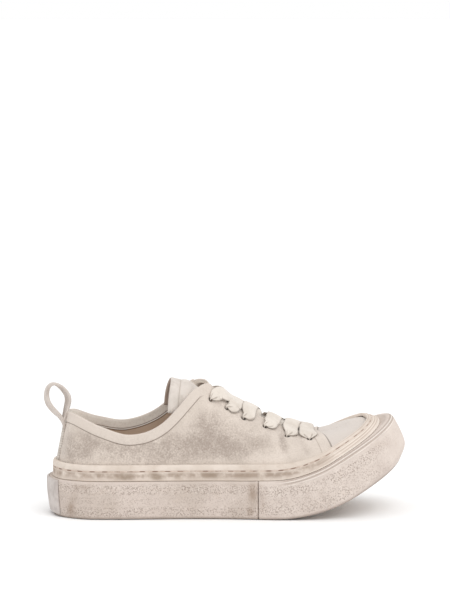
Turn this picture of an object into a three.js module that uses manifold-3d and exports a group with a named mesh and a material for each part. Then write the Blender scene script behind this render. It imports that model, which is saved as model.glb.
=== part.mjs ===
// Worn low-top lace-up sneaker on a thick cup sole with a strong toe spring: the right shoe of a pair.
// Millimetres. X runs from the heel to the toe, Y to the inner side of the foot, Z up from the floor.
//
// Most forms are worked out round the last. A place on the last has a station number: 0 at the back of
// the heel, rising along the outer side to HALF at the toe tip, and on along the inner side to LOOP.
// Across the sole edge, a point is given by its inset from the outline and its height above the tread,
// both measured on the straight sole. bend() then rolls the front of the shoe up into its toe spring.

import * as THREE from 'three';
import { mergeVertices } from 'three/addons/utils/BufferGeometryUtils.js';
import Module from 'manifold-3d';

const wasm = await Module();
wasm.setup();

// Driving dimensions.
const GAP = 0.3;              // clearance between touching pieces
const BEND_START = 181;       // the sole is straight up to here
const BEND_END = 252;         // and straight again, turned up, from here on
const TOE_ANGLE = THREE.MathUtils.degToRad(28.5);
const TREAD_UNDERSIDE = 0;
const TREAD_TOP = 6;
const WALL_FOOT = 0.6;        // lower edge of the side wall above the floor
const CUP_FLOOR = 14;         // top of the cup sole's floor
const INSOLE_THICKNESS = 4;
const UPPER_THICKNESS = 2;
const BUMPER_THICKNESS = 2.4;
const BUMPER_PROUD = 0.8;
const BUMPER_SEAM = 170;      // the bumper strip starts at this distance from the heel
const PLATE_THICKNESS = 1.6;
const TONGUE_THICKNESS = 2.2;
const LACE_WIDTH = 12;
const LACE_THICKNESS = 2;
const LOOP_WIDTH = 12;
const LOOP_THICKNESS = 2.4;
const EYELET_RADIUS = 2.4;
const WALL_CLEAR = 0.5;       // between the upper's curved side and the wall and rand round it
const ORIGIN = new THREE.Vector3(149, -2, 0);   // centre of the shoe's footprint

// Stations.
const HALF = 14;
const LOOP = 2 * HALF;

// The largest outline of the straight sole, [along, across] at each station.
const OUTLINE = [
  [1.6, 0], [8.5, -22.5], [28, -36.5], [54, -40.5], [82, -41.5], [110, -42.5], [138, -45],
  [166, -49.5], [194, -54], [222, -56], [248, -54.3], [272, -48], [292, -36], [306.4, -17], [312.8, 6],
  [307.4, 27], [293, 39.5], [272, 47], [248, 51], [222, 52], [194, 48.5], [166, 42], [138, 37],
  [110, 36], [82, 37.5], [54, 39.5], [28, 36.5], [8.5, 22.5],
];

// Values at stations 0 to HALF, the same on both sides of the shoe.
const mirrored = (half) => [...half, ...half.slice(1, -1).reverse()];
const BEVEL_INSET = mirrored([3.2, 2.8, 2.4, 2.2, 2.2, 2.2, 2.2, 2.2, 2.4, 2.8, 3.8, 5.8, 8.2, 10, 11]);
const BEVEL_RISE = mirrored([3.4, 3, 2.6, 2.4, 2.4, 2.4, 2.4, 2.4, 2.5, 2.8, 3.4, 4.6, 6, 7, 7.4]);
const LEAN = mirrored([2.4, 2.2, 1.8, 1.5, 1.4, 1.4, 1.4, 1.4, 1.4, 1.5, 1.6, 1.7, 1.8, 1.9, 1.9]);
const WALL_TOP = mirrored([
  31.3, 31.3, 31.3, 31.3, 31.3, 31.3, 31.4, 31.8, 33, 34.8, 35.6, 35.8, 35.8, 35.6, 35.6,
]);
const SHOULDER = mirrored([1.4, 1.4, 1.4, 1.4, 1.4, 1.4, 1.4, 1.4, 1.6, 2, 2.4, 2.8, 3.2, 3.6, 3.8]);
const FEATHER_INSET = mirrored([10, 8.4, 7.4, 7.2, 7.2, 7.2, 7.2, 7.2, 7.2, 7.3, 7.6, 8, 8.6, 9.2, 9.6]);
const RAND_INSET = mirrored([8.2, 7.2, 6.3, 6, 6, 6, 6, 6, 6, 6.6, 8.2, 11, 14.5, 18.4, 20.4]);
const RAND_THICKNESS = mirrored([4, 3.5, 3, 2.8, 2.8, 2.8, 2.8, 2.8, 2.8, 2.8, 2.8, 2.8, 2.8, 2.8, 2.8]);
const RAND_TOP = mirrored([
  44.6, 44.6, 44.6, 44.6, 44.6, 44.6, 44.7, 44.8, 44.8, 44.4, 43.8, 43.2, 42.6, 42, 41.6,
]);
const RAND_TILT = mirrored([10, 8, 5, 4, 5, 6, 8, 16, 32, 50, 58, 60, 61, 62, 62]);

// Upper edge of the upper at the collar, stations 0 to 6: [along, half width, height].
const COLLAR = [
  [16.8, 0, 83], [24, 17, 82.4], [44, 27.5, 75.6], [67.5, 31, 69], [92, 29.5, 75.5], [119, 21, 102],
  [135, 0, 113.5],
];
const COLLAR_RISE = 3.2;      // how much higher the collar stands on the inner side

// Crest of the instep from the collar to the toe box, stations 6 to 14: [along, across, height].
const CREST = [
  [135, 0, 113.5], [150, 0, 98], [170, 0, 87.4], [190, 0, 77.4], [209, 0, 70.2], [225, 0, 65],
  [240, 1.5, 67.4], [249.5, 3.4, 71.7], [253, 4.4, 73.2],
];
const CREST_START = 6;
const CREST_END = 13.25;      // the toe box's ribs fan round this point
const THROAT_BASE = 221;      // the throat opens behind here
const ARRIVAL_LIFT = mirrored([82, 82, 82, 82, 78, 66, 12, 20, 26, 28, 16, 0, 0, 0, 0]);
const ROOT_PULL = mirrored([
  0.35, 0.35, 0.35, 0.35, 0.36, 0.38, 0.4, 0.36, 0.3, 0.24, 0.25, 0.3, 0.34, 0.36, 0.36,
]);
const CREST_PULL = mirrored([
  0.3, 0.3, 0.32, 0.34, 0.32, 0.25, 0.18, 0.18, 0.2, 0.25, 0.36, 0.46, 0.5, 0.46, 0.42,
]);

// Interpolation: a uniform Catmull-Rom curve through values one apart.
function blend(a, b, c, d, f) {
  const square = 2 * a - 5 * b + 4 * c - d;
  const cube = 3 * b - a - 3 * c + d;
  return 0.5 * (2 * b + (c - a) * f + square * f * f + cube * f * f * f);
}

function roundLoop(values, t) {
  const k = Math.floor(t);
  const at = (i) => values[((k + i) % LOOP + LOOP) % LOOP];
  return blend(at(-1), at(0), at(1), at(2), t - k);
}

function alongRow(points, t) {
  const last = points.length - 1;
  const k = Math.min(Math.max(Math.floor(t), 0), last - 1);
  const at = (i) => points[Math.min(Math.max(k + i, 0), last)];
  return points[0].map((_, axis) => blend(at(-1)[axis], at(0)[axis], at(1)[axis], at(2)[axis], t - k));
}

const OUTLINE_ALONG = OUTLINE.map((point) => point[0]);
const OUTLINE_ACROSS = OUTLINE.map((point) => point[1]);

// Inward direction of the outline, level with the sole.
function inward(t) {
  const step = 0.02;
  const along = roundLoop(OUTLINE_ALONG, t + step) - roundLoop(OUTLINE_ALONG, t - step);
  const across = roundLoop(OUTLINE_ACROSS, t + step) - roundLoop(OUTLINE_ACROSS, t - step);
  return new THREE.Vector2(-across, along).normalize();
}

// Angle of the sole at a distance along it: level, then an arc, then straight at the toe angle.
function turn(along) {
  return TOE_ANGLE * THREE.MathUtils.clamp((along - BEND_START) / (BEND_END - BEND_START), 0, 1);
}

function bend(along, across, height) {
  const radius = (BEND_END - BEND_START) / TOE_ANGLE;
  const angle = turn(along);
  const beyond = Math.max(along - BEND_END, 0);
  const level = Math.min(along, BEND_START) + radius * Math.sin(angle) + beyond * Math.cos(angle);
  const lift = radius * (1 - Math.cos(angle)) + beyond * Math.sin(angle);
  return new THREE.Vector3(level - height * Math.sin(angle), across, lift + height * Math.cos(angle));
}

// A point by station, inset from the outline and height above the tread.
function place(t, inset, height) {
  const normal = inward(t);
  const along = roundLoop(OUTLINE_ALONG, t) + normal.x * inset;
  const across = roundLoop(OUTLINE_ACROSS, t) + normal.y * inset;
  return bend(along, across, height);
}

// Outer face of the side wall, from its foot (0) over the bevel and shoulder to the top edge (5).
function wallFace(t, corner, proud) {
  const lean = roundLoop(LEAN, t);
  const top = roundLoop(WALL_TOP, t);
  const shoulder = roundLoop(SHOULDER, t);
  const corners = [
    [roundLoop(BEVEL_INSET, t), WALL_FOOT],
    [lean, roundLoop(BEVEL_RISE, t)],
    [lean * 0.4, 13],
    [0, 22],
    [0.1, top - shoulder],
    [shoulder * 0.9, top],
  ];
  return [corners[corner][0] - proud, corners[corner][1]];
}

// Lower part of the upper's side, v from 0 at the feather edge to 1 at the top of the rand, moved
// outward by a clearance: an upright start that leans inward as it reaches the rand's top.
function lowerSide(t, v, clearance) {
  const start = [roundLoop(FEATHER_INSET, t), CUP_FLOOR + GAP];
  const end = [roundLoop(RAND_INSET, t), roundLoop(RAND_TOP, t)];
  const tilt = THREE.MathUtils.degToRad(roundLoop(RAND_TILT, t));
  const length = end[1] - start[1] + 0.5 * Math.abs(end[0] - start[0]);
  const startWay = [0, length];
  const endWay = [Math.sin(tilt) * length, Math.cos(tilt) * length];
  const value = (i) => (2 * v ** 3 - 3 * v ** 2 + 1) * start[i] + (v ** 3 - 2 * v ** 2 + v) * startWay[i]
    + (3 * v ** 2 - 2 * v ** 3) * end[i] + (v ** 3 - v ** 2) * endWay[i];
  const slope = (i) => (6 * v ** 2 - 6 * v) * start[i] + (3 * v ** 2 - 4 * v + 1) * startWay[i]
    + (6 * v - 6 * v ** 2) * end[i] + (3 * v ** 2 - 2 * v) * endWay[i];
  const way = new THREE.Vector2(slope(0), slope(1)).normalize();
  return [value(0) - way.y * clearance, value(1) + way.x * clearance];
}

// Where the lower side, moved outward, passes a height.
function sideAtHeight(t, height, clearance) {
  let low = 0;
  let high = 1;
  for (let i = 0; i < 24; i += 1) {
    const middle = (low + high) / 2;
    if (lowerSide(t, middle, clearance)[1] < height) low = middle;
    else high = middle;
  }
  return low;
}

// Upper end of a rib: on the collar up to station 6, then on the crest of the instep.
function ribTop(t) {
  const near = HALF - Math.abs(HALF - t);
  const inner = t > HALF;
  if (near < CREST_START) {
    const before = [COLLAR[1][0], -COLLAR[1][1], COLLAR[1][2]];
    const beyond = [COLLAR[5][0], -COLLAR[5][1], COLLAR[5][2]];
    const [along, half, height] = alongRow([before, ...COLLAR, beyond], near + 1);
    const rise = inner ? COLLAR_RISE * Math.sin(Math.PI * near / CREST_START) : 0;
    return new THREE.Vector3(along, inner ? half : -half, height + rise);
  }
  return new THREE.Vector3(...alongRow(CREST, Math.min(near, CREST_END) - CREST_START));
}

function crestWay(near) {
  const step = 0.05;
  const from = ribTop(Math.min(near, CREST_END) - step);
  const to = ribTop(Math.min(near + step, CREST_END));
  return to.sub(from).normalize();
}

// Direction in which a rib comes up to its top: steep at the collar, level across the crest, and
// fanned round the end of the crest at the toe.
function ribArrival(t) {
  const near = HALF - Math.abs(HALF - t);
  const side = t > HALF ? -1 : 1;
  const normal = inward(t);
  if (near > CREST_END) {
    const turned = Math.PI / 2 * (HALF - near) / (HALF - CREST_END);
    const way = crestWay(near).multiplyScalar(-Math.cos(turned));
    way.y += side * Math.sin(turned);
    return way.normalize();
  }
  const square = THREE.MathUtils.clamp(1.5 - near / 4, 0, 1);
  const level = new THREE.Vector2(0, side).lerp(normal, square).normalize();
  const lift = THREE.MathUtils.degToRad(roundLoop(ARRIVAL_LIFT, t));
  return new THREE.Vector3(level.x * Math.cos(lift), level.y * Math.cos(lift), Math.sin(lift));
}

// Outer face of the upper: v from 0 at the feather edge to 1 at the rand's top, and on to 2 at the
// collar or crest, where each rib is a cubic Bezier curve.
function lastSurface(t, v) {
  if (v <= 1) return place(t, ...lowerSide(t, v, 0));
  const inset = roundLoop(RAND_INSET, t);
  const root = place(t, inset, roundLoop(RAND_TOP, t));
  const tilt = THREE.MathUtils.degToRad(roundLoop(RAND_TILT, t));
  const normal = inward(t);
  const along = roundLoop(OUTLINE_ALONG, t) + normal.x * inset;
  const angle = turn(along);
  const level = normal.x * Math.sin(tilt);
  const leaving = new THREE.Vector3(
    level * Math.cos(angle) - Math.cos(tilt) * Math.sin(angle),
    normal.y * Math.sin(tilt),
    level * Math.sin(angle) + Math.cos(tilt) * Math.cos(angle),
  );
  const top = ribTop(t);
  const reach = top.distanceTo(root);
  const first = root.clone().addScaledVector(leaving, reach * roundLoop(ROOT_PULL, t));
  const second = top.clone().addScaledVector(ribArrival(t), -reach * roundLoop(CREST_PULL, t));
  return new THREE.CubicBezierCurve3(root, first, second, top).getPoint(v - 1);
}

// Outward direction of the upper's surface.
function lastNormal(t, v) {
  const near = HALF - Math.abs(HALF - t);
  if (v > 1.999 && near >= CREST_START) {
    const way = crestWay(near);
    return new THREE.Vector3(-way.z, 0, way.x).normalize();
  }
  const stepT = 0.03;
  const stepV = 0.01;
  const round = lastSurface(t + stepT, v).sub(lastSurface(t - stepT, v));
  const up = lastSurface(t, Math.min(v + stepV, 2)).sub(lastSurface(t, Math.max(v - stepV, 0)));
  return round.cross(up).normalize();
}

// A point of the upper moved outward by a distance.
function offLast(t, v, distance) {
  return lastSurface(t, v).addScaledVector(lastNormal(t, v), distance);
}

// Half width of the throat at a distance along the shoe, with rounded top corners and a round base.
function throatHalf(along) {
  const wide = 11 + 2 * THREE.MathUtils.clamp((208 - along) / 60, 0, 1);
  const base = Math.sqrt(THREE.MathUtils.clamp((THROAT_BASE - along) / 9, 0, 1));
  const corner = 0.1 * THREE.MathUtils.clamp(133 - along, 0, 7) ** 2;
  return wide * base + corner;
}

// Upper end of the leather on a rib: the throat's edge where there is one, else the rib's top.
function edgeOf(t) {
  const inside = (v) => {
    const point = lastSurface(t, v);
    return Math.abs(point.y) < throatHalf(point.x);
  };
  if (HALF - Math.abs(HALF - t) < CREST_START - 1.5 || !inside(2)) return 2;
  let low = 1;
  let high = 2;
  for (let i = 0; i < 24; i += 1) {
    const middle = (low + high) / 2;
    if (inside(middle)) high = middle;
    else low = middle;
  }
  return low;
}

// Meshes. carry() joins rows of points into a closed skin: each row is a chain of points, the rows
// follow each other round a loop or between two capped ends, and a chain may close on itself.
function carry(rows, { loop = true, ring = false, skip = () => false } = {}) {
  const count = rows[0].length;
  const positions = rows.flat().flatMap((point) => point.toArray());
  const indices = [];
  const steps = loop ? rows.length : rows.length - 1;
  const links = ring ? count : count - 1;
  for (let i = 0; i < steps; i += 1) {
    const next = (i + 1) % rows.length;
    for (let j = 0; j < links; j += 1) {
      if (skip(i, j)) continue;
      const along = (j + 1) % count;
      const [a, b, c, d] = [i * count + j, next * count + j, next * count + along, i * count + along];
      indices.push(a, b, c, a, c, d);
    }
  }
  if (!loop) {
    for (let j = 1; j < count - 1; j += 1) {
      const end = (rows.length - 1) * count;
      indices.push(0, j, j + 1, end, end + j + 1, end + j);
    }
  }
  return closedGeometry(positions, indices);
}

function closedGeometry(positions, indices) {
  const raw = new THREE.BufferGeometry();
  raw.setAttribute('position', new THREE.Float32BufferAttribute(positions, 3));
  raw.setIndex(indices);
  const merged = mergeVertices(raw, 1e-3);
  const kept = [];
  const source = merged.index.array;
  for (let i = 0; i < source.length; i += 3) {
    const [a, b, c] = source.slice(i, i + 3);
    if (a !== b && b !== c && c !== a) kept.push(a, b, c);
  }
  merged.setIndex(kept);
  return volumeOf(merged) < 0 ? turnedOver(merged) : merged;
}

function volumeOf(geometry) {
  const { position } = geometry.attributes;
  const point = (i) => new THREE.Vector3().fromBufferAttribute(position, geometry.index.array[i]);
  let sum = 0;
  for (let i = 0; i < geometry.index.count; i += 3) sum += point(i).dot(point(i + 1).cross(point(i + 2)));
  return sum / 6;
}

function turnedOver(geometry) {
  geometry.setIndex([...geometry.index.array].reverse());
  return geometry;
}

function toSolid(geometry) {
  return new wasm.Manifold(new wasm.Mesh({
    numProp: 3,
    vertProperties: new Float32Array(geometry.attributes.position.array),
    triVerts: new Uint32Array(geometry.index.array),
  }));
}

function fromSolid(solid) {
  const mesh = solid.getMesh();
  return closedGeometry([...mesh.vertProperties], [...mesh.triVerts]);
}

// Stations of the rows, the same on both sides: closer together round the heel and the toe, with any
// extra ones asked for between.
function stations(fine, extra = []) {
  const half = [HALF];
  for (let i = 0; i < HALF; i += 1) {
    const parts = fine && (i < 2 || i > 9) ? 3 : 2;
    for (let k = 0; k < parts; k += 1) half.push(i + k / parts);
  }
  const sorted = [...new Set([...half, ...extra])].sort((a, b) => a - b);
  return [...sorted, ...sorted.slice(1, -1).reverse().map((t) => LOOP - t)];
}

// The line down the middle of the sole where its floor's two sides meet.
function spine(t, height) {
  const near = HALF - Math.abs(HALF - t);
  const along = THREE.MathUtils.clamp((alongRow(OUTLINE.slice(0, HALF + 1), near))[0], 22, 290);
  return bend(along, 0, height);
}

// Tread: a slab inside the foot of the side wall, with cross grooves cut up into it at the heel and
// the ball and a shallow waist between, so that heel and forefoot each have a flat pad.
function makeOutsole() {
  const rows = stations(false).map((t) => {
    const foot = roundLoop(BEVEL_INSET, t) + 3.7;
    const rim = [[foot + 0.8, TREAD_UNDERSIDE], [foot, 1], [foot, TREAD_TOP]];
    const middle = (height) => place(t, foot + 0.8, height).lerp(spine(t, height), 0.5);
    return [
      spine(t, TREAD_UNDERSIDE), middle(TREAD_UNDERSIDE),
      ...rim.map(([inset, height]) => place(t, inset, height)),
      middle(TREAD_TOP), spine(t, TREAD_TOP),
    ];
  });
  let slab = toSolid(carry(rows));
  const grooves = [30, 42, 54, 66, 150, 162, 174, 186, 198, 210, 222, 234, 246, 258, 270];
  for (const along of grooves) slab = slab.subtract(toSolid(chevronGroove(along)));
  slab = slab.subtract(toSolid(waistRecess()));
  return fromSolid(slab);
}

// A shallow V-shaped groove across the tread.
function chevronGroove(along) {
  const depth = 2.2;
  const half = 1.5;
  const reach = 32;
  const sweep = 7;
  const rows = [-reach, 0, reach].map((across) => {
    const shift = along + sweep * (1 - Math.abs(across) / reach);
    return [
      bend(shift - half, across, -1), bend(shift + half, across, -1),
      bend(shift + half * 0.7, across, depth), bend(shift - half * 0.7, across, depth),
    ];
  });
  return carry(rows, { loop: false, ring: true });
}

function waistRecess() {
  const rise = 1.4;
  const rows = [
    [84, 22], [92, 25], [110, 26], [128, 25], [136, 22],
  ].map(([along, half]) => [
    bend(along, -half, -1), bend(along, half, -1),
    bend(along, half - 1.5, rise), bend(along, 1.5 - half, rise),
  ]);
  return carry(rows, { loop: false, ring: true });
}

// How far the toe bumper covers a station: 0 behind its end seams, 1 in front.
function bumperCover(t) {
  const along = roundLoop(OUTLINE_ALONG, t);
  return THREE.MathUtils.smoothstep(along, BUMPER_SEAM - 1.5, BUMPER_SEAM - 0.3);
}

// Cup sole: floor and side wall in one piece. Under the bumper its wall is set back to make room.
function makeSole() {
  const seamStations = [BUMPER_SEAM - 1.5, BUMPER_SEAM - 0.3].flatMap((along) => stationsAt(along));
  const all = [...stations(true), ...seamStations].sort((a, b) => a - b);
  const rows = all.map((t) => {
    const back = (BUMPER_THICKNESS - BUMPER_PROUD + GAP) * bumperCover(t);
    const top = roundLoop(WALL_TOP, t);
    const foot = roundLoop(BEVEL_INSET, t) + 3.4;
    const floorEdge = roundLoop(FEATHER_INSET, t) - GAP;
    const inner = [0.5, 0.75, 1].map((part) => {
      const height = CUP_FLOOR + (top - CUP_FLOOR) * part;
      return lowerSide(t, sideAtHeight(t, height, WALL_CLEAR), WALL_CLEAR);
    });
    const face = [5, 4, 3, 2, 1, 0].map((corner) => wallFace(t, corner, -back));
    const profile = [
      [floorEdge, CUP_FLOOR], ...inner, ...face, [foot, WALL_FOOT], [foot, TREAD_TOP + GAP],
    ];
    return [
      spine(t, CUP_FLOOR),
      ...profile.map(([inset, height]) => place(t, inset, height)),
      spine(t, TREAD_TOP + GAP),
    ];
  });
  return carry(rows);
}

// Both stations at which the outline passes a distance from the heel.
function stationsAt(along) {
  const find = (from, to) => {
    let [low, high] = [from, to];
    for (let i = 0; i < 30; i += 1) {
      const middle = (low + high) / 2;
      if (roundLoop(OUTLINE_ALONG, middle) < along) low = middle;
      else high = middle;
    }
    return low;
  };
  return [find(0.5, HALF), find(LOOP - 0.5, HALF)];
}

// Toe bumper: a strip of rubber round the toe, from seam to seam, set into the wall and a little proud.
function makeToeBumper() {
  const [outer, inner] = stationsAt(BUMPER_SEAM);
  const count = 34;
  const rows = Array.from({ length: count + 1 }, (_, i) => {
    const t = outer + (inner - outer) * i / count;
    const outside = [0, 1, 2, 3, 4, 5].map((corner) => wallFace(t, corner, BUMPER_PROUD));
    const inside = [5, 4, 3, 2, 1, 0].map((corner) => wallFace(t, corner, BUMPER_PROUD - BUMPER_THICKNESS));
    return [...outside, ...inside].map(([inset, height]) => place(t, inset, height));
  });
  return carry(rows, { loop: false, ring: true });
}

// Heel plate: a plain patch on the back of the wall, narrower at its foot.
function makeHeelPlate() {
  const reach = 1.02;
  const count = 14;
  const rows = Array.from({ length: count + 1 }, (_, i) => {
    const t = reach * (2 * i / count - 1);
    const corners = [1, 2, 3, 4];
    const outside = corners.map((corner) => wallFace(t, corner, PLATE_THICKNESS + GAP));
    const inside = corners.slice().reverse().map((corner) => wallFace(t, corner, GAP));
    return [...outside, ...inside].map(([inset, height]) => place(t, inset, height));
  });
  return carry(rows, { loop: false, ring: true });
}

// Rand: the stitched strip between the wall's top and the upper, following the upper's side.
function makeRand() {
  const rows = stations(true).map((t) => {
    const foot = roundLoop(WALL_TOP, t) + GAP;
    const start = sideAtHeight(t, foot, WALL_CLEAR);
    const thickness = roundLoop(RAND_THICKNESS, t);
    const steps = [0, 0.35, 0.7, 1];
    const inside = steps.map((part) => lowerSide(t, start + (1 - start) * part, WALL_CLEAR));
    const outside = steps.map((part) => lowerSide(t, start + (1 - start) * part, WALL_CLEAR + thickness));
    outside[0] = [outside[0][0], foot];
    outside[3] = lowerSide(t, 0.985, WALL_CLEAR + thickness * 0.8);
    return [...inside, ...outside.reverse()].map(([inset, height]) => place(t, inset, height));
  });
  return carry(rows, { ring: true });
}

// Upper: vamp and quarters in one shell of even thickness, open below, at the collar and down the
// throat to its base, and closed over the toe.
function makeUpper() {
  const corner = [4.75, 5.2, 5.35, 5.6, 5.7, 5.8, 5.9, 6.1, 6.25];
  const all = stations(true, [...corner, 13.25]);
  const heights = [0, 0.5, 1];
  const parts = [0.2, 0.4, 0.6, 0.8, 1];
  const tops = all.map((t) => edgeOf(t));
  const rows = all.map((t, i) => {
    const levels = [...heights, ...parts.map((part) => 1 + (tops[i] - 1) * part)];
    const outside = levels.map((v) => lastSurface(t, v));
    const inside = levels.map((v) => offLast(t, v, -UPPER_THICKNESS)).reverse();
    return [...outside, ...inside];
  });
  const closed = all.map((t, i) => HALF - Math.abs(HALF - t) >= CREST_START && tops[i] === 2);
  const edge = heights.length + parts.length - 1;
  const skip = (i, j) => j === edge && closed[i] && closed[(i + 1) % all.length];
  let shell = toSolid(carry(rows, { ring: true, skip }));
  for (const near of EYELET_STATIONS) {
    shell = shell.subtract(toSolid(eyeletPunch(eyeletAt(near))));
    shell = shell.subtract(toSolid(eyeletPunch(eyeletAt(LOOP - near))));
  }
  return fromSolid(shell);
}

// Six eyelets a side, from the collar to the throat's base: where each one's centre lies on the last.
const EYELET_STATIONS = [5.8, 6.5, 7.1, 7.95, 8.9, 9.95];
const EYELET_SETBACK = 12;
function eyeletAt(t) {
  const edge = edgeOf(t);
  const reach = lastSurface(t, edge).distanceTo(lastSurface(t, edge - 0.3));
  const v = edge - 0.3 * EYELET_SETBACK / reach;
  return { centre: lastSurface(t, v), normal: lastNormal(t, v) };
}

function eyeletPunch({ centre, normal }) {
  const punch = new THREE.CylinderGeometry(EYELET_RADIUS, EYELET_RADIUS, 9, 8);
  punch.deleteAttribute('normal');
  punch.deleteAttribute('uv');
  punch.applyQuaternion(new THREE.Quaternion().setFromUnitVectors(new THREE.Vector3(0, 1, 0), normal));
  punch.translate(centre.x, centre.y, centre.z);
  return mergeVertices(punch, 1e-4);
}

// Insole: a plain sheet on the cup's floor, inside the upper.
function makeInsole() {
  const low = CUP_FLOOR + GAP;
  const high = low + INSOLE_THICKNESS;
  const rows = stations(false).map((t) => {
    const rim = roundLoop(FEATHER_INSET, t) + UPPER_THICKNESS + 0.7;
    return [
      spine(t, low), place(t, rim, low), place(t, rim, high - 1), place(t, rim + 1, high), spine(t, high),
    ];
  });
  return carry(rows);
}

// Tongue: a curved sheet under the throat, stitched in at its base. Above the throat it stands free
// and wraps down towards the collar on both sides, up to its top edge.
const TONGUE_CLEAR = UPPER_THICKNESS + 0.6;
const TONGUE_TOP = { along: 102, half: 23, height: 110.6, drop: 26 };
function makeTongue() {
  const widths = [-1, -0.8, -0.6, -0.4, -0.2, 0, 0.2, 0.4, 0.6, 0.8, 1];
  const sewn = [10.9, 10.3, 9.7, 9, 8.3, 7.6, 7.05];
  const under = sewn.map((near) => widths.map((part) => tonguePoint(near, part)));
  const first = under[under.length - 1];
  const free = [0.25, 0.5, 0.75, 1].map((far) => first.map(([face, normal], i) => {
    const angle = Math.PI / 2 * widths[i];
    const { along, half, height, drop } = TONGUE_TOP;
    const end = new THREE.Vector3(along, half * Math.sin(angle), height - drop * (1 - Math.cos(angle)));
    const outward = new THREE.Vector3(0.1, Math.sin(angle), Math.cos(angle)).normalize();
    return [face.clone().lerp(end, far), normal.clone().lerp(outward, far).normalize()];
  }));
  const rows = [...under, ...free].map((row) => {
    const top = row.map(([face]) => face);
    const bottom = row.map(([face, normal]) => face.clone().addScaledVector(normal, -TONGUE_THICKNESS));
    return [...top, ...bottom.reverse()];
  });
  return carry(rows, { loop: false, ring: true });
}

// A point of the tongue's outer face at a crest station, part of its half width to the side.
function tonguePoint(near, part) {
  const halfWidth = 30 - 2.2 * (near - CREST_START);
  const t = part > 0 ? LOOP - near : near;
  let v = 2;
  let walked = 0;
  let point = lastSurface(t, v);
  while (walked < Math.abs(part) * halfWidth) {
    v -= 0.004;
    const next = lastSurface(t, v);
    walked += next.distanceTo(point);
    point = next;
  }
  const normal = lastNormal(t, v);
  return [point.addScaledVector(normal, -TONGUE_CLEAR), normal];
}

// Lace: a wide flat ribbon. Each crossing rises from its eyelet over the throat's edge and runs across
// and toward the toe until it dips inside the other edge; a last bar joins the two foremost eyelets.
function makeLaces() {
  const last = EYELET_STATIONS.length - 1;
  let lace = null;
  const join = (path) => {
    const ribbon = toSolid(laceRibbon(path));
    lace = lace ? lace.add(ribbon) : ribbon;
  };
  for (let i = 0; i < last; i += 1) {
    const step = EYELET_STATIONS[i + 1] - EYELET_STATIONS[i];
    const lift = 0.6 + 0.7 * i;
    for (const inner of [false, true]) {
      const [pit, edge] = laceStart(i, 0.28 * step, inner);
      const dip = laceDip(EYELET_STATIONS[i] + step, !inner);
      join([pit, edge, laceMiddle(edge, dip, inner ? lift + 1.2 : lift + 1.8), dip]);
    }
  }
  const [outerPit, outerEdge] = laceStart(last, 0, false);
  const [innerPit, innerEdge] = laceStart(last, 0, true);
  join([outerPit, outerEdge, laceMiddle(outerEdge, innerEdge, 2.6), innerEdge, innerPit]);
  return fromSolid(lace);
}

// Places along a ribbon, each with its outward direction: at the eyelet and on the throat's edge,
function laceStart(index, shift, inner) {
  const overEdge = 3;
  const near = EYELET_STATIONS[index];
  const t = inner ? LOOP - near : near;
  const edge = inner ? LOOP - near - shift : near + shift;
  const { centre, normal } = eyeletAt(t);
  const v = edgeOf(edge);
  const way = lastNormal(edge, v);
  return [
    [centre.addScaledVector(normal, 1.8), normal],
    [lastSurface(edge, v).addScaledVector(way, overEdge), way],
  ];
}

// in the middle of the throat,
function laceMiddle([from, fromUp], [to, toUp], lift) {
  const middle = from.clone().lerp(to, 0.5).add(new THREE.Vector3(0, 0, lift));
  return [middle, fromUp.clone().add(toUp).normalize()];
}

// and just inside the throat's edge.
function laceDip(near, inner) {
  const t = inner ? LOOP - near : near;
  const edge = edgeOf(t);
  const v = edge + 0.3 * (2 - edge);
  const normal = lastNormal(t, v);
  return [lastSurface(t, v).addScaledVector(normal, 2), normal];
}

// A ribbon along its path, gathered to half its width at each eyelet.
function laceRibbon(path) {
  const points = path.map(([point]) => point.toArray());
  const ups = path.map(([, up]) => up.toArray());
  const last = path.length - 1;
  const count = 2 * last;
  const rows = Array.from({ length: count + 1 }, (_, i) => {
    const t = last * i / count;
    const centre = new THREE.Vector3(...alongRow(points, t));
    const ahead = new THREE.Vector3(...alongRow(points, Math.min(t + 0.05, last)));
    const behind = new THREE.Vector3(...alongRow(points, Math.max(t - 0.05, 0)));
    const way = ahead.sub(behind).normalize();
    const flat = way.clone().cross(new THREE.Vector3(...alongRow(ups, t))).normalize();
    const up = flat.clone().cross(way);
    const gather = last === 4 ? Math.min(1, 2 * t, 2 * (last - t)) : Math.min(1, 2 * t);
    const half = LACE_WIDTH / 2 * (0.5 + 0.5 * gather);
    return [[-1, -1], [-1, 1], [1, 1], [1, -1]].map(([w, h]) => centre.clone()
      .addScaledVector(flat, w * half).addScaledVector(up, h * LACE_THICKNESS / 2));
  });
  return carry(rows, { loop: false, ring: true });
}

// Pull loop: a tape folded into a loop, its two ends lying on the back of the collar.
const PULL_LOOP = [
  [13.6, 75.6], [14.9, 81], [16.6, 87.6], [17.6, 92], [17.2, 96.4], [14.8, 100.6], [11, 104.4], [6.8, 106.5],
  [3, 105.4], [0.6, 101.2], [0.2, 95.4], [1.6, 90.4], [4.4, 86.2], [7.6, 82.2], [10, 78.6], [10.8, 75.2],
];
function makePullLoop() {
  const steps = 34;
  const last = PULL_LOOP.length - 1;
  const rows = Array.from({ length: steps + 1 }, (_, i) => {
    const t = last * i / steps;
    const [x, z] = alongRow(PULL_LOOP, t);
    const [aheadX, aheadZ] = alongRow(PULL_LOOP, Math.min(t + 0.05, last));
    const [behindX, behindZ] = alongRow(PULL_LOOP, Math.max(t - 0.05, 0));
    const way = new THREE.Vector2(aheadX - behindX, aheadZ - behindZ).normalize();
    const half = LOOP_THICKNESS / 2;
    const edge = LOOP_WIDTH / 2;
    return [[-edge, -half], [edge, -half], [edge, half], [-edge, half]].map(([across, out]) => (
      new THREE.Vector3(x - way.y * out, across, z + way.x * out)
    ));
  });
  return carry(rows, { loop: false, ring: true });
}

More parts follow.
